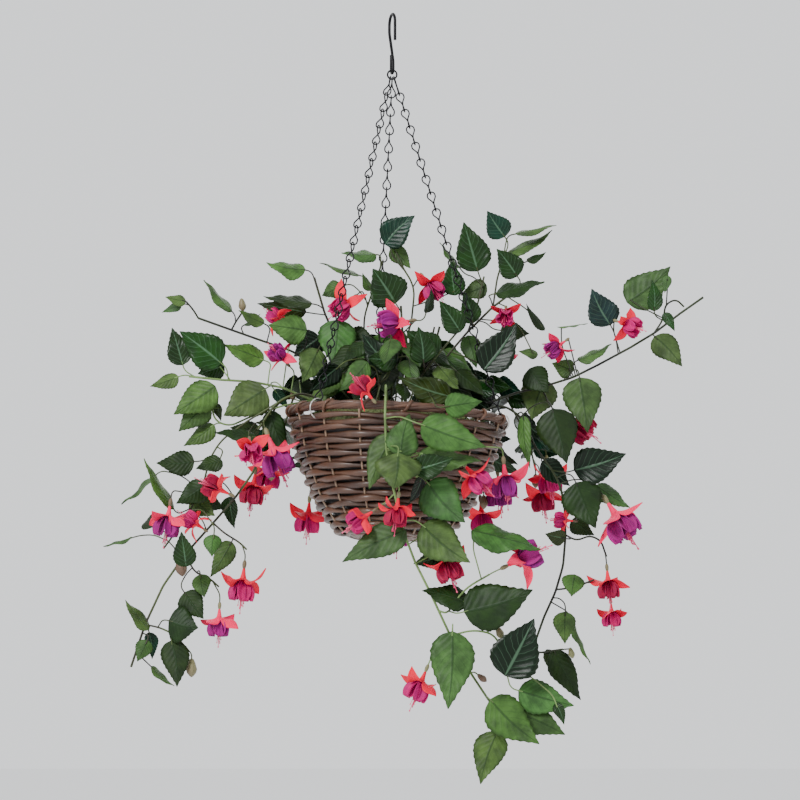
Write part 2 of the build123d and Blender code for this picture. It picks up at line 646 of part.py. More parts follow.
# --- planting without a list: arching sprays at the rear and a dome of foliage in the middle --------
def arching_spray(arches):
    """Stems that arch over the rim, with opposite pairs of blades and a flower near the end of each."""
    spray = {"stems": [], "blades": [], "flowers": [], "buds": []}
    up = Vector(0, 0, 1)
    for bearing, reach, rise, drop in arches:
        out = Vector(cos(radians(bearing)), sin(radians(bearing)), 0)
        side = Vector(-out.Y, out.X, 0)
        runs = [(42, -40), (66, 4), (98, rise), (128, rise * 0.9), (reach - 8, -12), (reach, -0.45 * drop),
                (reach + 8, -drop)]
        stem = [out * radius + up * height for radius, height in runs]
        spray["stems"].append([tuple(p) for p in stem])
        for index, (here, after) in enumerate(zip(stem[1:], stem[2:])):
            for share in (0.3, 0.8) if after != stem[-1] else (0.2,):
                base = here + (after - here) * share
                for hand in (-1, 1):
                    sway = sin(2.3 * index + 5.1 * share + hand + bearing)
                    start = base + side * (hand * 10) + up * (3 * sway)
                    length = BACK_BLADE * (0.84 + 0.16 * sway)
                    way = (side * (hand * (0.8 + 0.15 * sway)) + out * (0.4 - 0.2 * sway)
                           - up * (0.35 + 0.3 * sway))
                    tip = start + way.normalized() * length
                    spray["blades"].append((tuple(start), tuple(tip), length * 0.62, 150 - 25 * sway))
        for share, hand in ((0.35, -1), (1.0, 1)):
            hung = stem[-2] + (stem[-1] - stem[-2]) * share + out * 12 + side * (hand * 14) - up * 4
            spray["flowers"].append((tuple(hung), tuple(hung - up * 42 + out * 6)))
        spray["buds"].append((tuple(stem[-1] - up * 4), tuple(stem[-1] - up * 20)))
    return spray


def dome_spray(count):
    """Leafy shoots that stand in the middle of the basket and fill the mound behind the others."""
    stems, blades = [], []
    for index in range(DOME_SHOOTS):
        bearing = radians(DOME_TURN + index * 360.0 / DOME_SHOOTS)
        way = Vector(cos(bearing), sin(bearing), 0)
        runs = [(16, -40), (24, 14), (44, 62), (56, 104)]
        stems.append([(way.X * radius, way.Y * radius + DOME_SETBACK, height) for radius, height in runs])
    for index in range(count):
        bearing = radians(index * GOLDEN_ANGLE)
        lift = radians(8 + 62 * index / count)
        way = Vector(cos(bearing) * cos(lift), sin(bearing) * cos(lift), sin(lift))
        falling = Vector(cos(bearing), sin(bearing), -0.9).normalized()
        base = Vector(0, DOME_SETBACK, 26) + way * DOME_RADIUS
        tip = base + falling * DOME_BLADE
        facing = 30 if sin(bearing) < 0 else 150
        blades.append((tuple(base), tuple(tip), DOME_BLADE * 0.62, facing))
    return {"stems": stems, "blades": blades, "flowers": [], "buds": []}


for name, arches in ARCHES.items():
    SPRAYS[name] = arching_spray(arches)
SPRAYS["middle"] = dome_spray(DOME_COUNT)


# --- room: everything placed so far, as sample points with a radius ---------------------------------
taken = []


def samples(points):
    """Points every SAMPLE_STEP along a route."""
    found = []
    for start, end in zip(points, points[1:]):
        count = max(1, round((end - start).length / SAMPLE_STEP))
        found += [start + (end - start) * (step / count) for step in range(count)]
    return [*found, points[-1]]


def bent_samples(points):
    """Points along a stem as it is really bent."""
    route = wire_route(points)
    count = round(route.length / SAMPLE_STEP)
    return [route.position_at(step / count) for step in range(count + 1)]


def as_array(points):
    return np.array([tuple(p) for p in points])


def take(points, radius, owner):
    cloud = as_array(points)
    taken.append((cloud, radius, owner, cloud.min(axis=0), cloud.max(axis=0)))


def blocked_by(points, radius, skip=()):
    """The first thing that stands in the way of some sample points, or nothing."""
    cloud = as_array(points)
    low, high = cloud.min(axis=0), cloud.max(axis=0)
    for others, other_radius, owner, other_low, other_high in taken:
        room = radius + other_radius
        if owner in skip or (other_low - room > high).any() or (other_high + room < low).any():
            continue
        spans = np.linalg.norm(cloud[:, None] - others[None, :], axis=2)
        if spans.min() < room:
            return owner
    return None


def meets_basket(points, room, rooted):
    """Whether points come within some room of the basket. Rooted things may pass the moss."""
    away = as_array(points) - np.array(tuple(mouth.origin))
    height = away @ np.array(tuple(mouth.z_dir))
    radius = np.sqrt((away**2).sum(axis=1) - height**2)
    outline = [*reversed(WALL_PROFILE), (BORDER_RADIUS + 5.2, -4.0)]
    wall = np.interp(height, [h for r, h in outline], [r for r, h in outline])
    beside = (height > wall_foot - room) & (height < BORDER_TOP + room) & (radius < wall + room)
    if rooted:
        return bool((beside & (radius > moss_edge - room)).any())
    crown = MOSS_CROWN * (1 - (radius / moss_edge) ** 2)
    in_moss = (radius <= moss_edge) & (height < crown + room)
    return bool((beside & (radius > moss_edge)).any() or in_moss.any())


for start, finish in chain_lines:
    take(samples([start, finish]), LINK_HALF_WIDTH + CHAIN_WIRE, "chain")

stem_points, stem_routes = {}, {}
for name, spray in SPRAYS.items():
    stem_points[name], stem_routes[name] = [], []
    for stem in spray["stems"]:
        points = [spot(p) for p in stem]
        earlier = [p for route in stem_routes[name] for p in route if (p - points[0]).length < BRANCH_REACH]
        if earlier:
            points[0] = min(earlier, key=lambda p: (p - points[0]).length)
        stem_points[name].append(points)
        stem_routes[name].append(bent_samples(points))
for name, spray in SPRAYS.items():
    for stem, route in zip(spray["stems"], stem_routes[name]):
        blocker = blocked_by(route, STEM_DIAMETER / 2 + WIRE_MARGIN, (f"stem_{name}",))
        if blocker or meets_basket(route, STEM_DIAMETER / 2 + 0.4, True):
            print("stem of", name, "from", stem[0], "to", stem[-1], "meets", blocker or "the basket")
        take(route, STEM_DIAMETER / 2, f"stem_{name}")


# --- blades, flowers and buds -----------------------------------------------------------------------
def square_to(direction, way):
    """The part of a vector that is square to a unit direction, at length one."""
    return (way - direction * way.dot(direction)).normalized()


def blade_plane(base, tip, turn):
    """The plane of a blade: X along the midrib, Z out of its upper side."""
    midrib = (tip - base).normalized()
    front = square_to(midrib, Vector(0, -1, 0.02))
    upward = front.cross(midrib)
    if upward.Z < 0:
        upward = -upward
    facing = front * cos(radians(turn)) + upward * sin(radians(turn))
    return Plane(origin=base, x_dir=midrib, z_dir=facing)


def blade_samples(plane, length, width):
    shares = [x for x, y in BLADE_OUTLINE]
    halves = [y for x, y in BLADE_OUTLINE]
    found = []
    for row in range(round(length / SAMPLE_STEP) + 1):
        along = min(row * SAMPLE_STEP / length, 1.0)
        half = width * float(np.interp(along, shares, halves))
        count = max(1, round(2 * half / SAMPLE_STEP))
        for column in range(count + 1):
            found.append(plane.from_local_coords(Vector(along * length, half * (2 * column / count - 1), 0)))
    return found


def blade(plane, length, width):
    """Adds one leaf blade as a thin tapered plate, smaller on its upper side."""
    low = Plane(origin=plane.origin - plane.z_dir * (BLADE_THICKNESS / 2), x_dir=plane.x_dir,
                z_dir=plane.z_dir)
    upper = [(x * length, y * width) for x, y in BLADE_OUTLINE]
    lower = [(x * length, -y * width) for x, y in reversed(BLADE_OUTLINE[1:-1])]
    with BuildSketch(low) as outline:
        Polygon(*upper, *lower, align=None)
    extrude(outline.sketch, amount=BLADE_THICKNESS, taper=BLADE_EDGE_TAPER)


def stalk_route(name, end, arrive, lap):
    """A stalk's route from the nearest stem, a step back towards its root, to an end it arrives along."""
    best = None
    for route in stem_routes[name]:
        for index, point in enumerate(route):
            gap = (point - end).length
            if best is None or gap < best[0]:
                best = (gap, route, index)
    gap, route, index = best
    back = round(min(PETIOLE_STEP, gap * 0.6) / SAMPLE_STEP)
    start = route[max(index - back, 1)]
    lead = end - arrive * min(PETIOLE_LEAD, 0.35 * (end - start).length)
    points = [start]
    if (lead - start).length > BOW_FROM:
        points.append((start + lead) / 2 + Vector(0, 0, PETIOLE_BOW * (lead - start).length))
    points += [lead, end + arrive * lap]
    kept = [points[0]]
    for here, after in zip(points[1:], points[2:]):
        if (here - kept[-1]).length > 2.0 and 2.0 < (here - kept[-1]).get_angle(after - here) < 100.0:
            kept.append(here)
    return [*kept, points[-1]]


def flower_samples(top, mouth_point):
    axis = mouth_point - top
    return [top + axis * share for share in (0.05, 0.2, 0.4, 0.6, 0.8, 1.0)]


def flower_planes(top, mouth_point):
    """The flower's half plane, for its outline, and its unit axis."""
    axis = (mouth_point - top).normalized()
    side = square_to(axis, Vector(1, 0.2, 0.1))
    return Plane(origin=top, x_dir=side, z_dir=side.cross(axis)), axis, side


def sepal_planes(top, mouth_point):
    """One plane for each sepal, X from its foot to its tip."""
    plane, axis, side = flower_planes(top, mouth_point)
    size = (mouth_point - top).length / FLOWER_LENGTH
    spread = radians(SEPAL_SPREAD)
    found = []
    for index in range(SEPAL_COUNT):
        way = side.rotate(Axis((0, 0, 0), axis), 45 + index * 360.0 / SEPAL_COUNT)
        foot = top + axis * (size * (OVARY_LENGTH + TUBE_LENGTH - 1.0)) + way * (size * 2.0)
        run = axis * cos(spread) + way * sin(spread)
        found.append(Plane(origin=foot, x_dir=run, z_dir=square_to(run, axis)))
    return found


def flower(top, mouth_point):
    """Adds one hanging flower: ovary, tube and sepals as one solid, corolla and style as another."""
    plane, axis, side = flower_planes(top, mouth_point)
    size = (mouth_point - top).length / FLOWER_LENGTH
    line = Axis(top, axis)
    neck = OVARY_LENGTH + TUBE_LENGTH
    calyx = [(0, 0), (1.5, 0.6), (2.2, 3.0), (2.0, 6.8), (1.3, 9.0), (1.9, 12.0), (3.2, 18.0), (3.9, neck),
             (0, neck)]
    bell = [(0, neck + PETAL_GAP), (4.2, neck + PETAL_GAP), (8.4, neck + 5.0), (COROLLA_RADIUS, neck + 12.0),
            (9.4, FLOWER_LENGTH), (0, FLOWER_LENGTH)]
    for outline_points in (calyx, bell):
        with BuildSketch(plane) as outline:
            Polygon(*[(r * size, t * size) for r, t in outline_points], align=None)
        revolve(outline.sketch, axis=line)
    end = top + axis * (size * FLOWER_LENGTH)
    round_wire([end - axis * size, end + axis * (size * STYLE_LENGTH)], STYLE_DIAMETER * size)
    for sepal in sepal_planes(top, mouth_point):
        half, run = SEPAL_WIDTH / 2 * size, SEPAL_LENGTH * size
        with BuildSketch(sepal) as outline:
            Polygon((0, -0.5 * half), (0.4 * run, -half), (run, 0), (0.4 * run, half), (0, 0.5 * half),
                    align=None)
        extrude(outline.sketch, amount=SEPAL_THICKNESS * size / 2, both=True)


def bud(top, tip):
    """Adds one closed bud."""
    plane, axis, side = flower_planes(top, tip)
    run = (tip - top).length
    girth = BUD_SLENDERNESS * run
    with BuildSketch(plane) as outline:
        Polygon((0, 0), (0.5 * girth, 0.1 * run), (0.55 * girth, 0.3 * run), (girth, 0.6 * run),
                (0.5 * girth, 0.9 * run), (0, run), align=None)
    revolve(outline.sketch, axis=Axis(top, axis))


def moved(place, shift):
    return spot((place[0], place[1] + shift, place[2]))


def place_flower(name, top, mouth_point):
    """Finds the nearest depth at which a flower has room, and its stalk's route."""
    for shift in DEPTH_TRIALS:
        start, end = moved(top, shift), moved(mouth_point, shift)
        size = (end - start).length / FLOWER_LENGTH
        wings = []
        for plane in sepal_planes(start, end):
            wings += blade_samples(plane, SEPAL_LENGTH * size, SEPAL_WIDTH * size)
        heart = flower_samples(start, end)
        axis = (end - start).normalized()
        tail = samples([end, end + axis * (STYLE_LENGTH * size)])
        stalk = samples(stalk_route(name, start, axis, STALK_LAP))
        own = (f"stem_{name}",)
        if (
            blocked_by(heart, COROLLA_RADIUS * 0.75 * size + 1.0) or blocked_by(wings, PLATE_MARGIN)
            or blocked_by(tail, WIRE_MARGIN) or blocked_by(stalk, TWIG_DIAMETER / 2 + WIRE_MARGIN, own)
            or meets_basket([*heart, *wings], 3.0, False) or meets_basket(stalk, 1.5, True)
        ):
            continue
        take(heart[1:3], 3.2 * size, f"flower_{name}")
        take(heart[3:], COROLLA_RADIUS * size, f"flower_{name}")
        take(wings, PLATE_MARGIN, f"flower_{name}")
        take(tail, WIRE_MARGIN, f"flower_{name}")
        take(stalk, TWIG_DIAMETER / 2, f"stem_{name}")
        return start, end
    print("no room for the flower of", name, "at", top)
    return None


def place_bud(name, top, tip):
    """Finds the nearest depth at which a bud and its stalk have room."""
    for shift in DEPTH_TRIALS:
        start, end = moved(top, shift), moved(tip, shift)
        length = (end - start).length
        stalk = samples(stalk_route(name, start, (end - start).normalized(), STALK_LAP))
        if (
            blocked_by(samples([start, end]), BUD_SLENDERNESS * length + 1.0, (f"stem_{name}",))
            or blocked_by(stalk, TWIG_DIAMETER / 2 + WIRE_MARGIN, (f"stem_{name}",))
        ):
            continue
        take(samples([start, end]), BUD_SLENDERNESS * length + 0.6, f"flower_{name}")
        take(stalk, TWIG_DIAMETER / 2, f"stem_{name}")
        return start, end
    print("no room for the bud of", name, "at", top)
    return None


def place_blade(name, base, tip, width, turn):
    """Finds the nearest depth, then the largest size, at which a blade and its stalk have room."""
    for trim in BLADE_TRIMS:
        for shift in DEPTH_TRIALS:
            start, end = moved(base, shift), moved(tip, shift)
            length = (end - start).length * trim
            plane = blade_plane(start, end, turn)
            cover = blade_samples(plane, length, width * trim)
            far = [p for p in cover if (p - start).length > OWN_STEM_REACH]
            under = start - plane.z_dir * (BLADE_THICKNESS / 2 + TWIG_DIAMETER * 0.3)
            route = stalk_route(name, under, plane.x_dir, PETIOLE_LAP)
            stalk = samples(route)
            own = (f"stem_{name}",)
            if (
                blocked_by(cover, PLATE_MARGIN, own) or (far and blocked_by(far, 0.6))
                or blocked_by(stalk, TWIG_DIAMETER / 2 + WIRE_MARGIN, own)
                or meets_basket(cover, 2.0, False) or meets_basket(stalk, 1.3, True)
            ):
                continue
            take(cover, PLATE_MARGIN, f"leaf_{name}")
            take(stalk, TWIG_DIAMETER / 2, f"stem_{name}")
            return plane, length, width * trim, route
    print("no room for the blade of", name, "at", base)
    return None


found_flowers, found_buds = {}, {}
for name, spray in SPRAYS.items():
    tried_flowers = [place_flower(name, top, mouth_point) for top, mouth_point in spray["flowers"]]
    tried_buds = [place_bud(name, top, tip) for top, tip in spray["buds"]]
    found_flowers[name] = [place for place in tried_flowers if place]
    found_buds[name] = [place for place in tried_buds if place]

for name, spray in SPRAYS.items():
    tried_blades = [place_blade(name, *numbers) for numbers in spray["blades"]]
    found_blades = [place for place in tried_blades if place]
    with BuildPart() as stem_part:
        for index, stem in enumerate(stem_points[name]):
            round_wire(stem, STEM_DIAMETER if index == 0 else SIDE_STEM_DIAMETER)
        for plane, length, width, route in found_blades:
            round_wire(route, TWIG_DIAMETER)
        for top, end in [*found_flowers[name], *found_buds[name]]:
            round_wire(stalk_route(name, top, (end - top).normalized(), STALK_LAP), TWIG_DIAMETER)
    save(stem_part, f"stem_{name}")
    with BuildPart() as leaves_part:
        for plane, length, width, route in found_blades:
            blade(plane, length, width)
    save(leaves_part, f"leaves_{name}")
    if found_flowers[name] or found_buds[name]:
        with BuildPart() as flowers_part:
            for top, mouth_point in found_flowers[name]:
                flower(top, mouth_point)
            for top, tip in found_buds[name]:
                bud(top, tip)
        save(flowers_part, f"flowers_{name}")
    print(name, "blades", len(found_blades), "flowers", len(found_flowers[name]), "buds",
          len(found_buds[name]),
          "stem solids", len(stem_part.part.solids()))
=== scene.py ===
import math

import bpy
import numpy as np
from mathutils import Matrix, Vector


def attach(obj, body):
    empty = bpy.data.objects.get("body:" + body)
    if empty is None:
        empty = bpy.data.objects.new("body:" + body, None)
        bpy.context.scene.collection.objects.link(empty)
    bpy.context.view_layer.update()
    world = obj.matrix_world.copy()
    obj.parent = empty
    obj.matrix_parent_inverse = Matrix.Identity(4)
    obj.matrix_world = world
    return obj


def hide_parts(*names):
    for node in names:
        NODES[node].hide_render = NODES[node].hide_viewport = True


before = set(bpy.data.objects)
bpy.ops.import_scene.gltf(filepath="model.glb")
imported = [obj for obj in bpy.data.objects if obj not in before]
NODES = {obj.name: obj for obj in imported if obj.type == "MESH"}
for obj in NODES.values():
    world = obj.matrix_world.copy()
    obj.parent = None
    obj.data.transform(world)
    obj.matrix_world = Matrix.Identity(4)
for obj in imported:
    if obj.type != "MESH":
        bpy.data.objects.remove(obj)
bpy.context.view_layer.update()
rng = np.random.default_rng(7)

# Sizes in metres, in the frame of the CAD. Heights on the basket are measured from its mouth.
MOUTH = np.array((0.006, 0.0, -0.467))
TILT = math.radians(3.0)
RIGHT = np.array((math.cos(TILT), 0.0, -math.sin(TILT)))
BACK = np.array((0.0, 1.0, 0.0))
UP = np.array((math.sin(TILT), 0.0, math.cos(TILT)))
WALL_HEIGHTS = (-0.137, -0.126, -0.100, -0.050, -0.005)
WALL_RADII = (0.057, 0.069, 0.0885, 0.111, 0.1225)
WALL_MIDDLE = 0.0026
STAKE_COUNT = 16
STAKE_TURN = math.radians(2.5)
STAKE_FOOT, STAKE_TOP, STAKE_RADIUS = -0.1345, -0.003, 0.0012
ROW_PITCH, ROW_RADIUS = 0.0068, 0.0033
LOWEST_ROW, WOVEN_HEIGHT = -0.1335, 0.127
BORDER_RADIUS, BORDER_LEVEL, BORDER_RODS = 0.120, -0.0004, 5
BASE_LEVEL, BASE_ROUNDS, BASE_SPOKES = -0.1345, 8, 8
MOSS_TOP, MOSS_ROOTS, MOSS_DROP, MOSS_REACH = 0.010, 0.009, 0.026, 0.108
MOSS_STRANDS, STRAND_LENGTH = 2600, 0.009
FLOOR_LEVEL, FLOOR_HALF_SIDE = -1.5, 30.0

# --- camera and light -------------------------------------------------------------------------------
camera = bpy.data.objects.new("camera", bpy.data.cameras.new("camera"))
camera.data.lens = 119.65
camera.data.clip_start, camera.data.clip_end = 0.05, 50
camera.location = (0.009, -3.0, -0.7982)
aim = Vector((0.009, 0.0, -0.447)) - camera.location
camera.rotation_euler = aim.to_track_quat("-Z", "Y").to_euler()
bpy.context.scene.collection.objects.link(camera)
bpy.context.scene.camera = camera


def area_light(name, place, target, size, power):
    lamp = bpy.data.lights.new(name, "AREA")
    lamp.size, lamp.energy = size, power
    holder = bpy.data.objects.new(name, lamp)
    holder.location = place
    holder.rotation_euler = (Vector(target) - Vector(place)).to_track_quat("-Z", "Y").to_euler()
    bpy.context.scene.collection.objects.link(holder)


area_light("key", (-1.6, -2.6, 1.2), (0, 0, -0.46), 0.8, 150)
area_light("fill", (2.2, -1.8, -0.2), (0, 0, -0.5), 1.6, 14)
area_light("back", (0.6, 2.4, 0.9), (0, 0, -0.4), 2.0, 26)

world = bpy.data.worlds.new("studio")
world.use_nodes = True
world.node_tree.nodes["Background"].inputs["Color"].default_value = (0.96, 0.98, 1.0, 1)
world.node_tree.nodes["Background"].inputs["Strength"].default_value = 1.25
bpy.context.scene.world = world


# --- materials --------------------------------------------------------------------------------------
class Shade:
    """A principled material with short calls for its nodes."""

    def __init__(self, name, **settings):
        self.material = bpy.data.materials.new(name)
        self.material.use_nodes = True
        self.tree = self.material.node_tree
        self.shader = self.tree.nodes["Principled BSDF"]
        for key, value in settings.items():
            self.shader.inputs[key.replace("_", " ")].default_value = value

    def node(self, kind, inputs=(), **settings):
        made = self.tree.nodes.new(kind)
        for key, value in settings.items():
            setattr(made, key, value)
        for key, value in dict(inputs).items():
            if isinstance(value, bpy.types.NodeSocket):
                self.tree.links.new(value, made.inputs[key])
            else:
                made.inputs[key].default_value = value
        return made

    def math(self, operation, first, second=0.0, third=0.0):
        made = self.node("ShaderNodeMath", {0: first, 1: second, 2: third}, operation=operation)
        return made.outputs[0]

    def ramp(self, value, low, high, start=0.0, end=1.0):
        inputs = {"Value": value, "From Min": low, "From Max": high, "To Min": start, "To Max": end}
        return self.node("ShaderNodeMapRange", inputs, interpolation_type="SMOOTHSTEP").outputs[0]

    def texture(self, place, scale, detail, rough):
        inputs = {"Vector": place, "Scale": scale, "Detail": detail, "Roughness": rough}
        return self.node("ShaderNodeTexNoise", inputs).outputs["Fac"]

    def noise(self, scale, detail=4.0, rough=0.55, stretch=None):
        """Noise that is fixed to the object."""
        place = self.node("ShaderNodeTexCoord").outputs["Object"]
        if stretch:
            place = self.node("ShaderNodeMapping", {"Vector": place, "Scale": stretch}).outputs[0]
        return self.texture(place, scale, detail, rough)

    def grain(self, along_scale, across_scale, scale, detail, rough):
        """Noise that runs along the piece's UV map."""
        along, across = self.uv()
        along, across = self.math("MULTIPLY", along, along_scale), self.math("MULTIPLY", across, across_scale)
        place = self.node("ShaderNodeCombineXYZ", {0: along, 1: across}).outputs[0]
        return self.texture(place, scale, detail, rough)

    def uv(self):
        place = self.node("ShaderNodeUVMap", uv_map="along").outputs[0]
        split = self.node("ShaderNodeSeparateXYZ", {0: place})
        return split.outputs[0], split.outputs[1]

    def tone(self):
        return self.node("ShaderNodeVertexColor", layer_name="tone").outputs[0]

    def mix(self, share, first, second):
        made = self.node("ShaderNodeMix", {0: share, 6: first, 7: second}, data_type="RGBA")
        return made.outputs[2]

    def color(self, value):
        self.tree.links.new(value, self.shader.inputs["Base Color"])

    def rough(self, value):
        self.tree.links.new(value, self.shader.inputs["Roughness"])

    def bump(self, height, distance, strength):
        inputs = {"Height": height, "Distance": distance, "Strength": strength}
        made = self.node("ShaderNodeBump", inputs)
        self.tree.links.new(made.outputs[0], self.shader.inputs["Normal"])


def leaf_material(name, vein, vein_share, gloss):
    """Printed cloth leaf: a midrib and swept side veins, quilted between them, with mottled dye."""
    shade = Shade(name, Roughness=gloss, Specular_IOR_Level=0.17)
    along, across = shade.uv()
    off_rib = shade.math("ABSOLUTE", shade.math("MULTIPLY_ADD", across, 2.0, -1.0))
    wobble = shade.math("MULTIPLY_ADD", shade.noise(90.0, 2.0), 0.05, -0.025)
    swept = shade.math("MULTIPLY_ADD", off_rib, -0.30, along)
    order = shade.math("MULTIPLY", shade.math("ADD", swept, wobble), 8.0)
    wave = shade.math("PINGPONG", order, 0.5)
    side_veins = shade.ramp(wave, 0.015, 0.075, 1.0, 0.0)
    side_veins = shade.math("MULTIPLY", side_veins, shade.ramp(off_rib, 0.7, 0.98, 1.0, 0.0))
    midrib = shade.ramp(off_rib, 0.02, 0.09, 1.0, 0.0)
    veins = shade.math("MAXIMUM", shade.math("MULTIPLY", side_veins, 0.5), midrib)
    mottle = shade.ramp(shade.noise(70.0, 5.0), 0.3, 0.72)
    tone = shade.tone()
    darker = shade.mix(0.6, tone, (0.001, 0.005, 0.001, 1))
    body = shade.mix(mottle, darker, tone)
    edge = shade.ramp(off_rib, 0.8, 1.0, 0.0, 0.35)
    body = shade.mix(edge, body, (0.006, 0.013, 0.0015, 1))
    shade.color(shade.mix(shade.math("MULTIPLY", veins, vein_share), body, vein))
    quilt = shade.math("MULTIPLY", shade.ramp(wave, 0.0, 0.5), 0.35)
    weave = shade.math("MULTIPLY", shade.noise(2400.0, 2.0), 0.10)
    height = shade.math("ADD", shade.math("SUBTRACT", quilt, shade.math("MULTIPLY", midrib, 0.5)), weave)
    shade.bump(height, 0.0010, 0.6)
    return shade.material


def petal_material(name, deep):
    """Dyed petal cloth: fine lines along the petal in a deeper tone, and a few pale flecks."""
    shade = Shade(name, Roughness=0.55, Sheen_Weight=0.05, Specular_IOR_Level=0.15)
    lines = shade.grain(2.0, 26.0, 1.6, 3.0, 0.5)
    body = shade.mix(shade.ramp(lines, 0.3, 0.75, 0.0, 0.55), shade.tone(), deep)
    flecks = shade.ramp(shade.noise(120.0, 4.0), 0.5, 0.85, 0.0, 0.14)
    shade.color(shade.mix(flecks, body, (0.95, 0.12, 0.25, 1)))
    cloth = shade.math("MULTIPLY", shade.noise(1900.0, 2.0), 0.25)
    shade.bump(shade.math("ADD", lines, cloth), 0.0006, 0.6)
    return shade.material


def stalk_material(name, pale, dark):
    """Moulded stem: pale and dark stretches with brown knots."""
    shade = Shade(name, Roughness=0.45, Specular_IOR_Level=0.25)
    blotch = shade.ramp(shade.noise(26.0, 5.0, stretch=(1, 1, 0.5)), 0.36, 0.66)
    base = shade.mix(blotch, dark, pale)
    knots = shade.ramp(shade.noise(240.0, 3.0), 0.6, 0.75)
    shade.color(shade.mix(shade.math("MULTIPLY", knots, 0.5), base, (0.05, 0.028, 0.016, 1)))
    shade.bump(shade.noise(420.0, 4.0, stretch=(1, 1, 0.25)), 0.0006, 0.6)
    return shade.material


def willow_material(name):
    """Varnished willow: long grain between a dark and a light tone, with paler patches."""
    shade = Shade(name, Specular_IOR_Level=0.35, Coat_Weight=0.22, Coat_Roughness=0.2)
    grain = shade.grain(9.0, 9.0, 3.0, 6.0, 0.65)
    patch = shade.ramp(shade.noise(34.0, 5.0), 0.35, 0.68)
    tone = shade.tone()
    darker = shade.mix(0.6, tone, (0.014, 0.006, 0.004, 1))
    body = shade.mix(shade.ramp(grain, 0.32, 0.7), darker, tone)
    body = shade.mix(shade.math("MULTIPLY", patch, 0.4), body, (0.125, 0.056, 0.027, 1))
    shade.color(body)
    shade.rough(shade.ramp(grain, 0.2, 0.8, 0.32, 0.58))
    shade.bump(grain, 0.0008, 0.7)
    return shade.material


def wire_material(name, paint, bare_and_glint, share, gloss):
    """Wire with a coat that is rubbed to bare metal over some share of it; the pale specks are partly real
    wear and partly painted highlight.
    """
    shade = Shade(name, Metallic=0.85)
    # pale specks: partly rubbed bare metal, partly painted highlight standing in for light glinting on the
    # wire
    wear_and_glint = shade.ramp(shade.noise(160.0, 5.0, 0.6), 0.62 - share, 0.72 - share * 0.6)
    fine = shade.noise(900.0, 3.0)
    shade.color(shade.mix(wear_and_glint, paint, bare_and_glint))
    shade.rough(shade.ramp(fine, 0.2, 0.8, gloss, gloss + 0.18))
    shade.bump(fine, 0.0002, 0.35)
    return shade.material


def rough_material(name, pale, dark, scale, gloss, depth):
    """A grainy surface in two tones, with relief of a given depth."""
    shade = Shade(name, Roughness=gloss)
    grain = shade.noise(scale, 6.0, 0.7)
    shade.color(shade.mix(shade.ramp(grain, 0.32, 0.68), dark, pale))
    shade.bump(grain, depth, 0.8)
    return shade.material


LEAF_TOP = leaf_material("leaf_top", (0.11, 0.22, 0.13, 1), 0.34, 0.34)
LEAF_UNDER = leaf_material("leaf_under", (0.006, 0.022, 0.004, 1), 0.65, 0.5)
SEPAL = petal_material("sepal_cloth", (0.40, 0.0, 0.022, 1))
COROLLA = petal_material("corolla_cloth", (0.10, 0.004, 0.08, 1))
FILAMENT = stalk_material("filament", (0.80, 0.10, 0.22, 1), (0.45, 0.02, 0.10, 1))
OVARY = stalk_material("ovary", (0.17, 0.17, 0.08, 1), (0.10, 0.06, 0.04, 1))
STEM = stalk_material("stem_skin", (0.045, 0.066, 0.016, 1), (0.014, 0.012, 0.006, 1))
# painted highlight: a paler, lit copy of the stem skin, for the front stems
STEM_PAINTED_HIGHLIGHT = stalk_material("stem_skin_painted_highlight", (0.15, 0.25, 0.075, 1), (0.055, 0.085, 0.025, 1))
STEM_DARK = stalk_material("stem_skin_dark", (0.018, 0.026, 0.008, 1), (0.006, 0.006, 0.004, 1))
WILLOW = willow_material("willow")
# the pale specks on both wires are partly real wear and partly painted highlight
BLACK_WIRE = wire_material("black_wire", (0.006, 0.006, 0.007, 1), (0.16, 0.155, 0.15, 1), -0.02, 0.3)
BRIGHT_WIRE = wire_material("bright_wire", (0.36, 0.35, 0.33, 1), (0.66, 0.65, 0.62, 1), 0.15, 0.3)
LINER = rough_material("liner_film", (0.03, 0.03, 0.03, 1), (0.012, 0.012, 0.012, 1), 60.0, 0.4, 0.0008)
FOAM = rough_material("foam", (0.13, 0.24, 0.11, 1), (0.07, 0.14, 0.06, 1), 800.0, 0.9, 0.0006)
MOSS = rough_material("moss_fibre", (0.16, 0.19, 0.06, 1), (0.04, 0.05, 0.02, 1), 300.0, 0.9, 0.001)


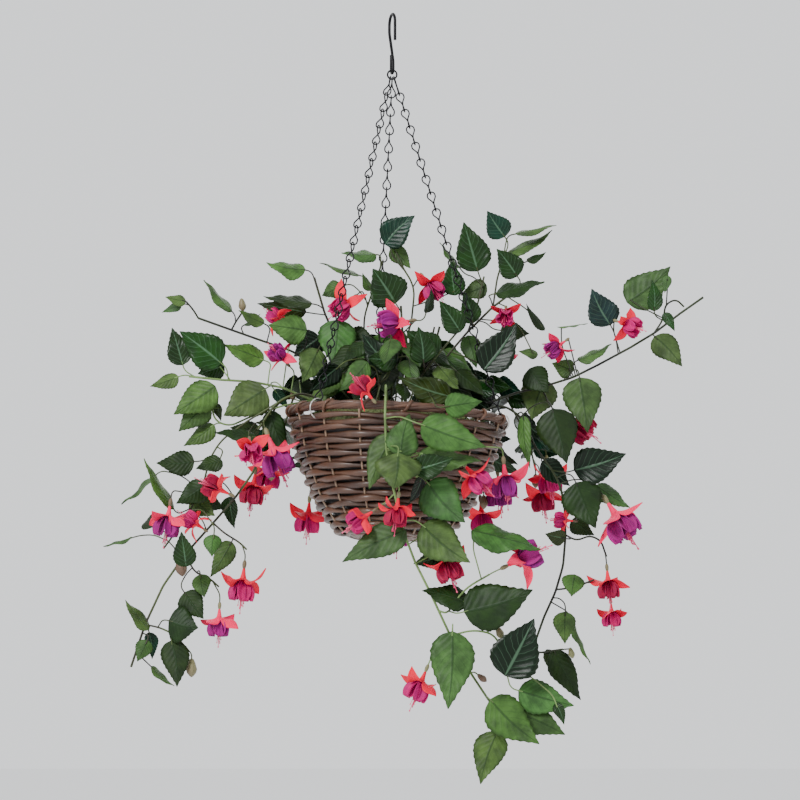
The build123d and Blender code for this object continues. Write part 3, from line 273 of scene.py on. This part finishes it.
# --- mesh building ----------------------------------------------------------------------------------
class Piece:
    """Collects grids of points into one mesh with a UV map and a colour for each point."""

    def __init__(self, name, materials, finish):
        self.name, self.materials, self.finish = name, materials, finish
        self.points, self.uvs, self.tones = [], [], []
        self.faces, self.slots = [], []
        self.count = 0

    def grid(self, points, uvs, tone, slot, loop=False, flip=False):
        """A sheet of quads over an n by m grid; loop joins its last column to its first."""
        rows, columns = points.shape[:2]
        index = np.arange(rows * columns).reshape(rows, columns) + self.count
        right = np.roll(index, -1, axis=1) if loop else index[:, 1:]
        left = index if loop else index[:, :-1]
        quads = np.stack((left[:-1], right[:-1], right[1:], left[1:]), axis=-1).reshape(-1, 4)
        if flip:
            quads = quads[:, ::-1]
        self.points.append(points.reshape(-1, 3))
        self.uvs.append(np.broadcast_to(uvs, (rows, columns, 2)).reshape(-1, 2))
        self.tones.append(np.broadcast_to(tone, (rows, columns, 3)).reshape(-1, 3))
        self.faces.append(quads)
        self.slots.append(np.full(len(quads), slot))
        self.count += rows * columns
        return index

    def shell(self, points, normals, uvs, thickness, top, under, slots):
        """A thin closed sheet: an upper side, an underside and a rim."""
        upper = self.grid(points + normals * (thickness / 2), uvs, top, slots[0])
        lower = self.grid(points - normals * (thickness / 2), uvs, under, slots[1], flip=True)
        ring_up = np.concatenate((upper[0], upper[1:, -1], upper[-1, -2::-1], upper[-2:0:-1, 0]))
        ring_low = np.concatenate((lower[0], lower[1:, -1], lower[-1, -2::-1], lower[-2:0:-1, 0]))
        rim = np.stack((ring_low, np.roll(ring_low, -1), np.roll(ring_up, -1), ring_up), axis=-1)
        self.faces.append(rim)
        self.slots.append(np.full(len(rim), slots[0]))

    def tube(self, path, radii, tone, slot, sides=8, closed=False, facing=(0.31, 0.17, 0.93)):
        """A tube along a path, with a radius for each point, capped unless it is closed."""
        path = np.asarray(path, float)
        radii = np.broadcast_to(radii, len(path))
        if closed:
            ahead = np.roll(path, -1, axis=0) - np.roll(path, 1, axis=0)
        else:
            ahead = np.gradient(path, axis=0)
        ahead /= np.linalg.norm(ahead, axis=1, keepdims=True)
        side = np.cross(ahead, np.broadcast_to(facing, path.shape))
        side /= np.linalg.norm(side, axis=1, keepdims=True)
        over = np.cross(side, ahead)
        turn = full_circle(sides)
        ring = side[:, None] * np.cos(turn)[None, :, None] + over[:, None] * np.sin(turn)[None, :, None]
        points = path[:, None] + ring * radii[:, None, None]
        length = np.concatenate(([0], np.cumsum(np.linalg.norm(np.diff(path, axis=0), axis=1))))
        uvs = np.stack(np.meshgrid(length * 10, turn / (2 * math.pi), indexing="ij"), axis=-1)
        if closed:
            points = np.concatenate((points, points[:1]))
            uvs = np.concatenate((uvs, uvs[-1:]))
        index = self.grid(points, uvs, tone, slot, loop=True)
        if not closed:
            for end, ring_index in ((path[0], index[0]), (path[-1], index[-1][::-1])):
                centre = self.grid(end.reshape(1, 1, 3), np.zeros((1, 1, 2)), tone, slot)[0, 0]
                fan = [(ring_index[k], centre, centre, ring_index[(k + 1) % sides]) for k in range(sides)]
                self.faces.append(np.array(fan))
                self.slots.append(np.full(sides, slot))

    def lathe(self, base, axis, outline, tone, slot, sides=16):
        """A turned shape: an outline of (radius, distance along the axis)."""
        side = np.cross(axis, (0.3, 0.9, 0.2))
        side /= np.linalg.norm(side)
        over = np.cross(axis, side)
        turn = full_circle(sides)
        ring = side * np.cos(turn)[:, None] + over * np.sin(turn)[:, None]
        outline = np.array(outline)
        points = base + axis * outline[:, 1, None, None] + ring[None] * outline[:, 0, None, None]
        share = np.linspace(0, 1, len(outline))
        uvs = np.stack(np.meshgrid(share, turn / (2 * math.pi), indexing="ij"), axis=-1)
        self.grid(points, uvs, tone, slot, loop=True)

    def make(self, stands_for):
        """Makes the mesh, drops each fan's repeated corner, and hides the CAD parts that the piece stands
        for.
        """
        points = np.concatenate(self.points)
        mesh = bpy.data.meshes.new(self.name)
        faces = [list(dict.fromkeys(face)) for face in np.concatenate(self.faces).tolist()]
        slots = np.concatenate(self.slots)
        kept = [number for number, face in enumerate(faces) if len(face) > 2]
        mesh.from_pydata(points.tolist(), [], [faces[number] for number in kept])
        for material in self.materials:
            mesh.materials.append(material)
        mesh.polygons.foreach_set("material_index", slots[kept].astype(np.int32))
        mesh.polygons.foreach_set("use_smooth", np.ones(len(kept), bool))
        corners = np.empty(len(mesh.loops), np.int32)
        mesh.loops.foreach_get("vertex_index", corners)
        mesh.uv_layers.new(name="along").data.foreach_set("uv", np.concatenate(self.uvs)[corners].ravel())
        tones = np.concatenate(self.tones)
        colors = np.concatenate((tones, np.ones((len(tones), 1))), axis=1)[corners]
        layer = mesh.color_attributes.new("tone", "FLOAT_COLOR", "CORNER")
        layer.data.foreach_set("color", colors.astype(np.float32).ravel())
        mesh.update()
        holder = bpy.data.objects.new(self.name, mesh)
        bpy.context.scene.collection.objects.link(holder)
        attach(holder, "basket")
        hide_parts(*stands_for)


def full_circle(count):
    return np.linspace(0, 2 * math.pi, count, endpoint=False)


def unit(vector):
    return vector / np.linalg.norm(vector)


def smooth(value):
    value = np.clip(value, 0, 1)
    return value * value * (3 - 2 * value)


def ring_points(angles, radius, height):
    """Points round the basket, in its tilted frame."""
    angles, radius, height = np.broadcast_arrays(np.asarray(angles, float), radius, height)
    flat = RIGHT * (np.cos(angles) * radius)[:, None] + BACK * (np.sin(angles) * radius)[:, None]
    return MOUTH + flat + UP * height[:, None]


def wall_radius(height):
    return np.interp(height, WALL_HEIGHTS, WALL_RADII)


# --- basket -----------------------------------------------------------------------------------------
def stake_angle(index):
    return STAKE_TURN + 2 * math.pi * index / STAKE_COUNT


def dyed(tone, least, most):
    """A rod's tone, darker or lighter by chance."""
    return np.array(tone) * rng.uniform(least, most)


weave = Piece("woven_wall", [WILLOW], "willow")
steps = full_circle(256)
for row in range(int(WOVEN_HEIGHT / ROW_PITCH) + 1):
    swing = STAKE_COUNT / 2 * (steps - STAKE_TURN) + math.pi * (row % 2)
    uneven = 0.0006 * np.sin(3 * steps + rng.uniform(0, 6)) + 0.0004 * np.sin(11 * steps + rng.uniform(0, 6))
    height = LOWEST_ROW + row * ROW_PITCH + 0.0007 * np.sin(swing) + uneven
    reach = wall_radius(height) - WALL_MIDDLE + 0.0002 + 0.0025 * np.cos(swing)
    lumps = 0.08 * np.sin(5 * steps + rng.uniform(0, 6)) + 0.05 * np.sin(17 * steps + rng.uniform(0, 6))
    thick = ROW_RADIUS * (1 + 0.15 * np.cos(swing) + lumps)
    tone = dyed((0.052, 0.0195, 0.0095), 0.55, 1.5)
    path = ring_points(steps, reach, height)
    outward = ring_points(steps, reach + 1.0, height) - path
    weave.tube(path, thick, tone, 0, sides=12, closed=True, facing=outward)
for index in range(STAKE_COUNT):
    heights = np.linspace(STAKE_FOOT, STAKE_TOP, 24)
    reach = wall_radius(heights) - WALL_MIDDLE + 0.0012
    path = ring_points(np.full(24, stake_angle(index)), reach, heights)
    weave.tube(path, STAKE_RADIUS, dyed((0.30, 0.20, 0.13), 0.8, 1.1), 0)
weave.make(["basket_wall", "stakes"])

border = Piece("rim_bundle", [WILLOW], "willow")
steps = full_circle(320)
for rod in range(BORDER_RODS):
    turn = 2 * math.pi * rod / BORDER_RODS + 6 * steps + 0.35 * np.sin(4 * steps + rod)
    reach = BORDER_RADIUS + 0.0031 * np.cos(turn)
    height = BORDER_LEVEL + 0.0027 * np.sin(turn)
    thick = 0.0025 * (1 + 0.12 * np.sin(7 * steps + 2 * rod))
    tone = dyed((0.064, 0.024, 0.0125), 0.7, 1.3)
    border.tube(ring_points(steps, reach, height), thick, tone, 0, closed=True, facing=UP)
for index in range(STAKE_COUNT):
    sweep = np.linspace(0, 1, 14)
    turn = -2.2 + 4.2 * sweep
    reach = BORDER_RADIUS + 0.0062 * np.cos(turn)
    path = ring_points(stake_angle(index) + 0.10 * sweep, reach, BORDER_LEVEL + 0.0058 * np.sin(turn))
    border.tube(path, 0.0017, dyed((0.09, 0.036, 0.018), 0.8, 1.2), 0)
border.make(["rim_border"])

base = Piece("woven_base", [WILLOW], "willow")
steps = full_circle(160)
for ring in range(BASE_ROUNDS):
    reach = 0.0095 + ring * 0.0056 + 0.0003 * np.sin(5 * steps)
    height = BASE_LEVEL + 0.0011 * np.cos(BASE_SPOKES * steps + math.pi * (ring % 2))
    tone = dyed((0.085, 0.037, 0.020), 0.7, 1.3)
    base.tube(ring_points(steps, reach, height), 0.0029, tone, 0, closed=True, facing=UP)
for index in range(BASE_SPOKES):
    angle = math.pi * index / BASE_SPOKES
    path = ring_points(np.full(12, angle), np.linspace(-0.050, 0.050, 12), BASE_LEVEL)
    base.tube(path, 0.0017, dyed((0.17, 0.10, 0.055), 0.8, 1.1), 0)
base.make(["basket_base"])


def mound(top, reach):
    """Height of the moss at a distance from the middle."""
    return top - MOSS_DROP * (reach / MOSS_REACH) ** 2


moss = Piece("moss_tufts", [MOSS], "moss")
around, out = np.meshgrid(full_circle(96), np.linspace(0.001, 0.1065, 40))
lumps = 0.002 * np.sin(9 * around + 60 * out) * np.sin(160 * out) + 0.0015 * np.sin(23 * around - 90 * out)
height = mound(MOSS_TOP, out) + lumps * (out < 0.104)
surface = ring_points(around.ravel(), out.ravel(), height.ravel()).reshape(*out.shape, 3)
uvs = np.stack((out * 10, around / 6.28), axis=-1)
moss.grid(surface, uvs, (0.1, 0.12, 0.05), 0, loop=True)
for strand in range(MOSS_STRANDS):
    angle, far = rng.uniform(0, 2 * math.pi), 0.106 * math.sqrt(rng.uniform(0, 1))
    start = ring_points([angle], far, mound(MOSS_ROOTS, far))[0]
    lean = np.array((*rng.normal(0, 0.7, 2), 1.0))
    bend = rng.normal(0, 0.003, 3)
    share = np.linspace(0, 1, 4)[:, None]
    path = start + unit(lean) * STRAND_LENGTH * share + bend * share**2
    moss.tube(path, np.array((0.0005, 0.0004, 0.0003, 0.00008)), (0.1, 0.12, 0.05), 0, sides=3)
moss.make(["moss"])


# --- leaves, each made on a blade plate of the CAD --------------------------------------------------
def islands(node):
    """The separate solids of a CAD node, as (points, triangles)."""
    mesh = NODES[node].data
    points = np.empty(len(mesh.vertices) * 3)
    mesh.vertices.foreach_get("co", points)
    points = points.reshape(-1, 3)
    mesh.calc_loop_triangles()
    triangles = np.empty(len(mesh.loop_triangles) * 3, np.int32)
    mesh.loop_triangles.foreach_get("vertices", triangles)
    keys, inverse = np.unique(np.round(points, 6), axis=0, return_inverse=True)
    triangles = inverse.ravel()[triangles].reshape(-1, 3)
    group = np.arange(len(keys))
    while True:
        lowest = group[triangles].min(axis=1)
        before = group.copy()
        for corner in range(3):
            np.minimum.at(group, triangles[:, corner], lowest)
        group = group[group]
        if (group == before).all():
            break
    return [(keys, triangles[group[triangles[:, 0]] == mark]) for mark in np.unique(group)]


def blade_frame(keys, triangles):
    """Foot, midrib, upper side, length and width of one blade plate."""
    corners = keys[triangles]
    normals = np.cross(corners[:, 1] - corners[:, 0], corners[:, 2] - corners[:, 0])
    areas = np.linalg.norm(normals, axis=1)
    normals /= np.maximum(areas, 1e-15)[:, None]
    largest = normals[np.argmax(areas)]
    side_a = normals @ largest > 0.99
    side_b = normals @ largest < -0.99
    wide, up = (side_a, -largest) if areas[side_a].sum() > areas[side_b].sum() else (side_b, largest)
    outline = keys[np.unique(triangles[wide])]
    centre = (corners[wide].mean(axis=1) * areas[wide, None]).sum(axis=0) / areas[wide].sum()
    misses = []
    for point in outline:
        rib = unit(point - centre)
        across = np.cross(up, rib)
        mirrored = outline - 2 * ((outline - centre) @ across)[:, None] * across
        misses.append(np.linalg.norm(mirrored[:, None] - outline[None], axis=2).min(axis=1).max())
    first, second = np.argsort(misses)[:2]
    foot, tip = sorted((outline[first], outline[second]), key=lambda p: np.linalg.norm(p - centre))
    rib = unit(tip - foot)
    across = np.cross(up, rib)
    spread = (outline - foot) @ across
    return foot, rib, up, np.linalg.norm(tip - foot), spread.max() - spread.min()


LEAF_ROWS, LEAF_HALF, LEAF_THICKNESS = 30, 4, 0.0003
TOP_TONES = {  # dark, teal, blue, green, spring green, olive
    "D": (0.0010, 0.0070, 0.0016),
    "T": (0.0026, 0.027, 0.015),
    "B": (0.0070, 0.027, 0.026),
    "G": (0.0058, 0.028, 0.0014),
    "S": (0.0052, 0.042, 0.0028),
    "O": (0.0170, 0.032, 0.0020),
}
UNDER_DARK, UNDER_LIGHT = (0.0090, 0.025, 0.0028), (0.048, 0.108, 0.022)


def leaf(piece, foot, rib, up, length, width, top, under):
    """One leaf: toothed edge, pointed tip, folded a little along its midrib, curled and waved."""
    across = np.cross(up, rib)
    along = np.linspace(0, 1, LEAF_ROWS + 1)
    share = np.linspace(-1, 1, 2 * LEAF_HALF + 1)
    half = np.sin(math.pi * np.clip(along, 1e-4, 1) ** 0.62) ** 0.92 * (1 - 0.30 * along**2)
    teeth = 0.055 * ((np.arange(LEAF_ROWS + 1) % 3) / 2 - 0.4) * smooth(along * 8) * smooth((1 - along) * 8)
    half = (half / half.max() + teeth) * width / 2
    half[0] = half[-1] = 0.00025
    t, s = np.meshgrid(along, share, indexing="ij")
    fold, curl, wave = rng.uniform(0.03, 0.14), rng.uniform(-0.02, 0.13), rng.uniform(0.01, 0.035)
    ripple = wave * np.sin(2 * math.pi * (t * rng.uniform(1.5, 2.6) + rng.uniform(0, 1))) * s**2
    lift = 2 * fold * np.abs(s) ** 1.3 * half[:, None] + length * ripple
    lift -= curl * length * ((t - 0.3) ** 2 - 0.09 * (t < 0.3) * (1 - t / 0.3))
    bend = rng.uniform(-0.05, 0.05) * length * np.sin(math.pi * t)
    points = foot + rib * (t * length)[..., None] + across * (s * half[:, None] + bend)[..., None]
    points = points + up * lift[..., None]
    normals = np.cross(np.gradient(points, axis=0), np.gradient(points, axis=1))
    normals /= np.maximum(np.linalg.norm(normals, axis=2, keepdims=True), 1e-12)
    if normals[LEAF_ROWS // 2, LEAF_HALF] @ up < 0:
        normals = -normals
    piece.shell(points, normals, np.stack((t, (s + 1) / 2), axis=-1), LEAF_THICKNESS, top, under, (0, 1))


def vary(tone, amount=0.18):
    """The tone with a chance change of its hue and lightness."""
    return np.array(tone) * rng.uniform(1 - amount, 1 + amount, 3) * rng.uniform(1 - amount, 1 + amount)


LEAF_TONES = {  # a letter for each leaf of a spray, from the highest foot down
    "left_long": "GGTTGT",
    "top_left": "GSOBGDOBDDG",
    "crown": "TOGGGGTGGTGDDOG",
    "top_right": "TTTDGGGTDGDDGBD",
    "right_long": "GTGGBTGOGDGG",
    "left_mid": "GGGGDGTTGOODT",
    "left_cluster": "DDDDGDGDTDGGG",
    "left_low": "GGGDDOTGDG",
    "front": "GGTTGGDGTOBGDDSDTGGGG",
    "right_low": "DGDDDTDOGGOOD",
    "middle": "DGDDTDGD",
}
REAR_TONES = "GTDGSGDG"
for node in sorted(NODES):
    if not node.startswith("leaves_"):
        continue
    spray = node[len("leaves_"):]
    blades = [blade_frame(keys, triangles) for keys, triangles in islands(node)]
    blades.sort(key=lambda found: (-round(found[0][2], 3), found[0][0]))
    tones = LEAF_TONES.get(spray, REAR_TONES)
    piece = Piece(f"{spray}_leaves", [LEAF_TOP, LEAF_UNDER], "leaf")
    for number, found in enumerate(blades):
        mark = tones[number % len(tones)]
        under = UNDER_DARK if mark == "D" else UNDER_LIGHT
        leaf(piece, *found, vary(TOP_TONES[mark]), vary(under))
    piece.make([node])


# --- flowers ----------------------------------------------------------------------------------------
TUBE_END, STAMEN_ROOT, STYLE_AT = 21.0, 20.0, 56.0  # along the flower, on the scale of its outlines
LEAST_CALYX_GIRTH = 0.012
PETAL_STEPS, PETAL_THICKNESS = 13, 0.00035
SEPAL_RED = (0.78, 0.0005, 0.030)
SEPAL_PINK = (0.80, 0.004, 0.085)
PURPLE = (0.30, 0.004, 0.17)
MAGENTA = (0.55, 0.001, 0.13)
DARK_RED = (0.36, 0.0003, 0.022)


def shape_of(keys, triangles):
    """Centre, long axis, girth and slimness of a turned solid."""
    points = keys[np.unique(triangles)]
    centre = points.mean(axis=0)
    spread, axes = np.linalg.eigh(np.cov((points - centre).T))
    axis = axes[:, 2]
    away = points - centre
    girth = np.linalg.norm(away - (away @ axis)[:, None] * axis, axis=1).max()
    slim = math.sqrt(spread[0] / spread[2])
    return {"points": points, "centre": centre, "axis": axis, "girth": girth, "slim": slim}


def petal(piece, origin, axis, way, line, widths, tone, inner, slot, cup, ruffle, twist=0.0):
    """One petal or sepal: a curved sheet whose midline is (out, along) pairs in the plane of axis and way."""
    side = np.cross(axis, way)
    at = np.linspace(0, 1, len(line))
    share = np.linspace(0, 1, PETAL_STEPS)
    out, rise = np.interp(share, at, line[:, 0]), np.interp(share, at, line[:, 1])
    kernel = np.array((0.25, 0.5, 0.25))
    for _ in range(2):
        out[1:-1], rise[1:-1] = np.convolve(out, kernel, "valid"), np.convolve(rise, kernel, "valid")
    middle = origin + way * out[:, None] + axis * rise[:, None]
    ahead = np.gradient(middle, axis=0)
    ahead /= np.linalg.norm(ahead, axis=1, keepdims=True)
    face = np.cross(ahead, side)
    lean = (twist * smooth(share * 2))[:, None]
    side, face = side * np.cos(lean) + face * np.sin(lean), face * np.cos(lean) - side * np.sin(lean)
    half = np.interp(share, np.linspace(0, 1, len(widths)), widths)
    half[1:-1] = np.convolve(half, kernel, "valid")
    across = np.linspace(-1, 1, 9)
    waves = ruffle * np.sin(across[None] * 7 + rng.uniform(0, 6)) * share[:, None] ** 1.5
    lift = cup * half[:, None] * across[None] ** 2 + waves
    points = middle[:, None] + side[:, None] * (half[:, None] * across[None])[..., None]
    points = points + face[:, None] * lift[..., None]
    normals = np.cross(np.gradient(points, axis=0), np.gradient(points, axis=1))
    normals /= np.maximum(np.linalg.norm(normals, axis=2, keepdims=True), 1e-12)
    uvs = np.stack(np.meshgrid(share, (across + 1) / 2, indexing="ij"), axis=-1)
    piece.shell(points, normals, uvs, PETAL_THICKNESS, tone, inner, (slot, slot))


def flower(piece, top, axis, size, sepal_tone, bell_tone):
    """A fuchsia: ovary, tube, four swept sepals, two rows of overlapping petals, stamens and a pistil."""
    mm = size / 1000
    side = np.array((1.0, 0.2, 0.1))
    side = unit(side - axis * (side @ axis))
    over = np.cross(axis, side)
    ovary = [(0.1, -0.4), (1.2, 0.3), (2.1, 2.2), (2.3, 4.6), (1.9, 7.2), (1.2, 9.2)]
    tube = [(1.2, 8.6), (1.7, 10.0), (1.9, 12.0), (2.4, 15.0), (3.2, 18.0), (3.9, TUBE_END), (2.6, 22.0)]
    piece.lathe(top, axis, np.array(ovary) * mm, (0.1, 0.1, 0.05), 3)
    piece.lathe(top, axis, np.array(tube) * mm, vary(sepal_tone, 0.08), 0)

    def ray(angle):
        return side * math.cos(angle) + over * math.sin(angle)

    for index in range(4):
        way = ray(math.radians(45 + 90 * index) + rng.uniform(-0.12, 0.12))
        sweep = rng.uniform(-5.0, 8.0)
        reach = rng.uniform(0.92, 1.08)
        line = [(2.4, 18.5), (7.5, 22.2), (13.0 * reach, 23.0 + 0.3 * sweep), (20.0 * reach, 21.5 + sweep),
                (27.0 * reach, 17.5 + 2.2 * sweep)]
        widths = np.array((2.4, 5.2, 7.2, 7.8, 6.8, 4.2, 0.2)) * mm
        tone = vary(sepal_tone, 0.10)
        turn = rng.choice((-1, 1)) * rng.uniform(0.35, 0.85)
        petal(piece, top, axis, way, np.array(line) * mm, widths, tone, tone * 1.05, 0, 0.22, 0.5 * mm, turn)
    for row, (count, turn, reach) in enumerate(((5, 0.2, 1.0), (4, 0.9, 0.82))):
        for index in range(count):
            way = ray(turn + 2 * math.pi * index / count + rng.uniform(-0.15, 0.15))
            flare = rng.uniform(0.85, 1.12) * reach
            line = [(1.5, 20.5), (5.0 * flare, 25.0), (8.6 * flare, 31.0), (9.0 * flare, 36.5),
                    (8.2 * flare + 1.6, 42.5 - row)]
            widths = np.array((1.8, 4.6, 6.8, 7.6, 7.2, 4.6)) * mm * (1 - 0.12 * row)
            tone = vary(bell_tone, 0.16)
            petal(piece, top, axis, way, np.array(line) * mm, widths, tone, tone * 0.8, 1, -0.55, 0.9 * mm)
    for index in range(8):
        way = ray(rng.uniform(0, 6.28))
        long = rng.uniform(43.0, 51.0)
        share = np.linspace(0, 1, 7)[:, None]
        bow = rng.uniform(1.0, 3.4)
        run = STAMEN_ROOT + (long - STAMEN_ROOT) * share
        path = top + axis * run * mm + way * (bow * share**1.4 + 0.4) * mm
        piece.tube(path, 0.34 * mm, (0.8, 0.1, 0.2), 2, sides=5)
        anther = [path[-1] + axis * place * mm for place in (-0.9, 0.0, 1.2)]
        piece.tube(anther, np.array((0.4, 0.8, 0.2)) * mm, (0.7, 0.1, 0.2), 2, sides=6)
    share = np.linspace(0, 1, 9)[:, None]
    run = STAMEN_ROOT + (STYLE_AT - STAMEN_ROOT - 0.5) * share
    path = top + axis * run * mm + over * (1.4 * np.sin(3 * share)) * mm
    piece.tube(path, 0.42 * mm, (0.75, 0.05, 0.15), 2, sides=6)
    stigma = [path[-1] + axis * place * mm for place in (-1.0, 0.3, 1.3)]
    piece.tube(stigma, np.array((0.5, 1.0, 0.4)) * mm, (0.3, 0.1, 0.05), 2)


def bud(piece, foot, axis, length, tone):
    """A closed bud with a ridge at each seam of its four sepals."""
    girth = 0.3 * length
    outline = [(0.05, 0.0), (0.45, 0.08), (0.62, 0.22), (0.80, 0.40), (1.0, 0.60), (0.82, 0.78),
               (0.35, 0.94), (0.03, 1.0)]
    piece.lathe(foot, axis, [(r * girth, t * length) for r, t in outline], tone, 3, sides=14)
    for index in range(4):
        turn = math.pi / 4 + math.pi / 2 * index
        side = unit(np.cross(axis, (0.3, 0.9, 0.2)))
        way = side * math.cos(turn) + np.cross(axis, side) * math.sin(turn)
        path = [foot + axis * length * t + way * girth * r * 1.02 for r, t in outline[2:]]
        piece.tube(path, 0.00035, tone, 3, sides=5)


for node in sorted(NODES):
    if not node.startswith("flowers_"):
        continue
    spray = node[len("flowers_"):]
    found = [shape_of(keys, triangles) for keys, triangles in islands(node)]
    bells = [solid for solid in found if solid["slim"] > 0.5]
    rest = [solid for solid in found if solid["slim"] <= 0.5]
    calyxes = [solid for solid in rest if solid["girth"] > LEAST_CALYX_GIRTH]
    piece = Piece(f"{spray}_flowers", [SEPAL, COROLLA, FILAMENT, OVARY], "flower")
    for number, bell in enumerate(sorted(bells, key=lambda solid: -solid["centre"][2])):
        calyx = min(calyxes, key=lambda solid: np.linalg.norm(solid["centre"] - bell["centre"]))
        axis = bell["axis"] * np.sign(bell["axis"] @ (bell["centre"] - calyx["centre"]))
        low = (calyx["points"] @ axis).min()
        high = (bell["points"] @ axis).max()
        top = bell["centre"] + axis * (low - bell["centre"] @ axis)
        sepal_tone = (SEPAL_RED, SEPAL_PINK, SEPAL_RED)[number % 3]
        bell_tone = (MAGENTA, PURPLE, DARK_RED)[number % 3]
        flower(piece, top, axis, (high - low) / STYLE_AT * 1000, sepal_tone, bell_tone)
    for solid in rest:
        if solid["girth"] < LEAST_CALYX_GIRTH:
            axis = solid["axis"] * -np.sign(solid["axis"][2])
            run = solid["points"] @ axis
            foot = solid["centre"] + axis * (run.min() - solid["centre"] @ axis)
            bud(piece, foot, axis, run.max() - run.min(), (0.1, 0.14, 0.05))
    piece.make([node])

# --- CAD nodes that stay, with their own materials --------------------------------------------------
KEPT = {"hook": BLACK_WIRE, "top_ring": BLACK_WIRE, "liner": LINER, "foam_block": FOAM}
for side in ("left", "rear", "right"):
    KEPT[f"chain_{side}"] = BLACK_WIRE
    KEPT[f"rim_ring_{side}"] = BRIGHT_WIRE
for node in NODES:
    if node.startswith("stem_"):
        KEPT[node] = STEM
# the front and left middle stems get the paler skin, a painted highlight
for node in ("stem_front", "stem_left_mid"):
    KEPT[node] = STEM_PAINTED_HIGHLIGHT
for node in ("stem_right_low", "stem_right_long", "stem_left_long"):
    KEPT[node] = STEM_DARK
for node, material in KEPT.items():
    mesh = NODES[node].data
    mesh.materials.clear()
    mesh.materials.append(material)
    mesh.polygons.foreach_set("use_smooth", np.ones(len(mesh.polygons), bool))

# --- floor ------------------------------------------------------------------------------------------
floor_mesh = bpy.data.meshes.new("floor")
corners = [(x * FLOOR_HALF_SIDE, y * FLOOR_HALF_SIDE, FLOOR_LEVEL)
           for x, y in ((-1, -1), (1, -1), (1, 1), (-1, 1))]
floor_mesh.from_pydata(corners, [], [(0, 1, 2, 3)])
floor = bpy.data.objects.new("floor", floor_mesh)
bpy.context.scene.collection.objects.link(floor)
floor_mesh.materials.append(Shade("floor_white", Base_Color=(0.92, 0.92, 0.92, 1), Roughness=0.9).material)
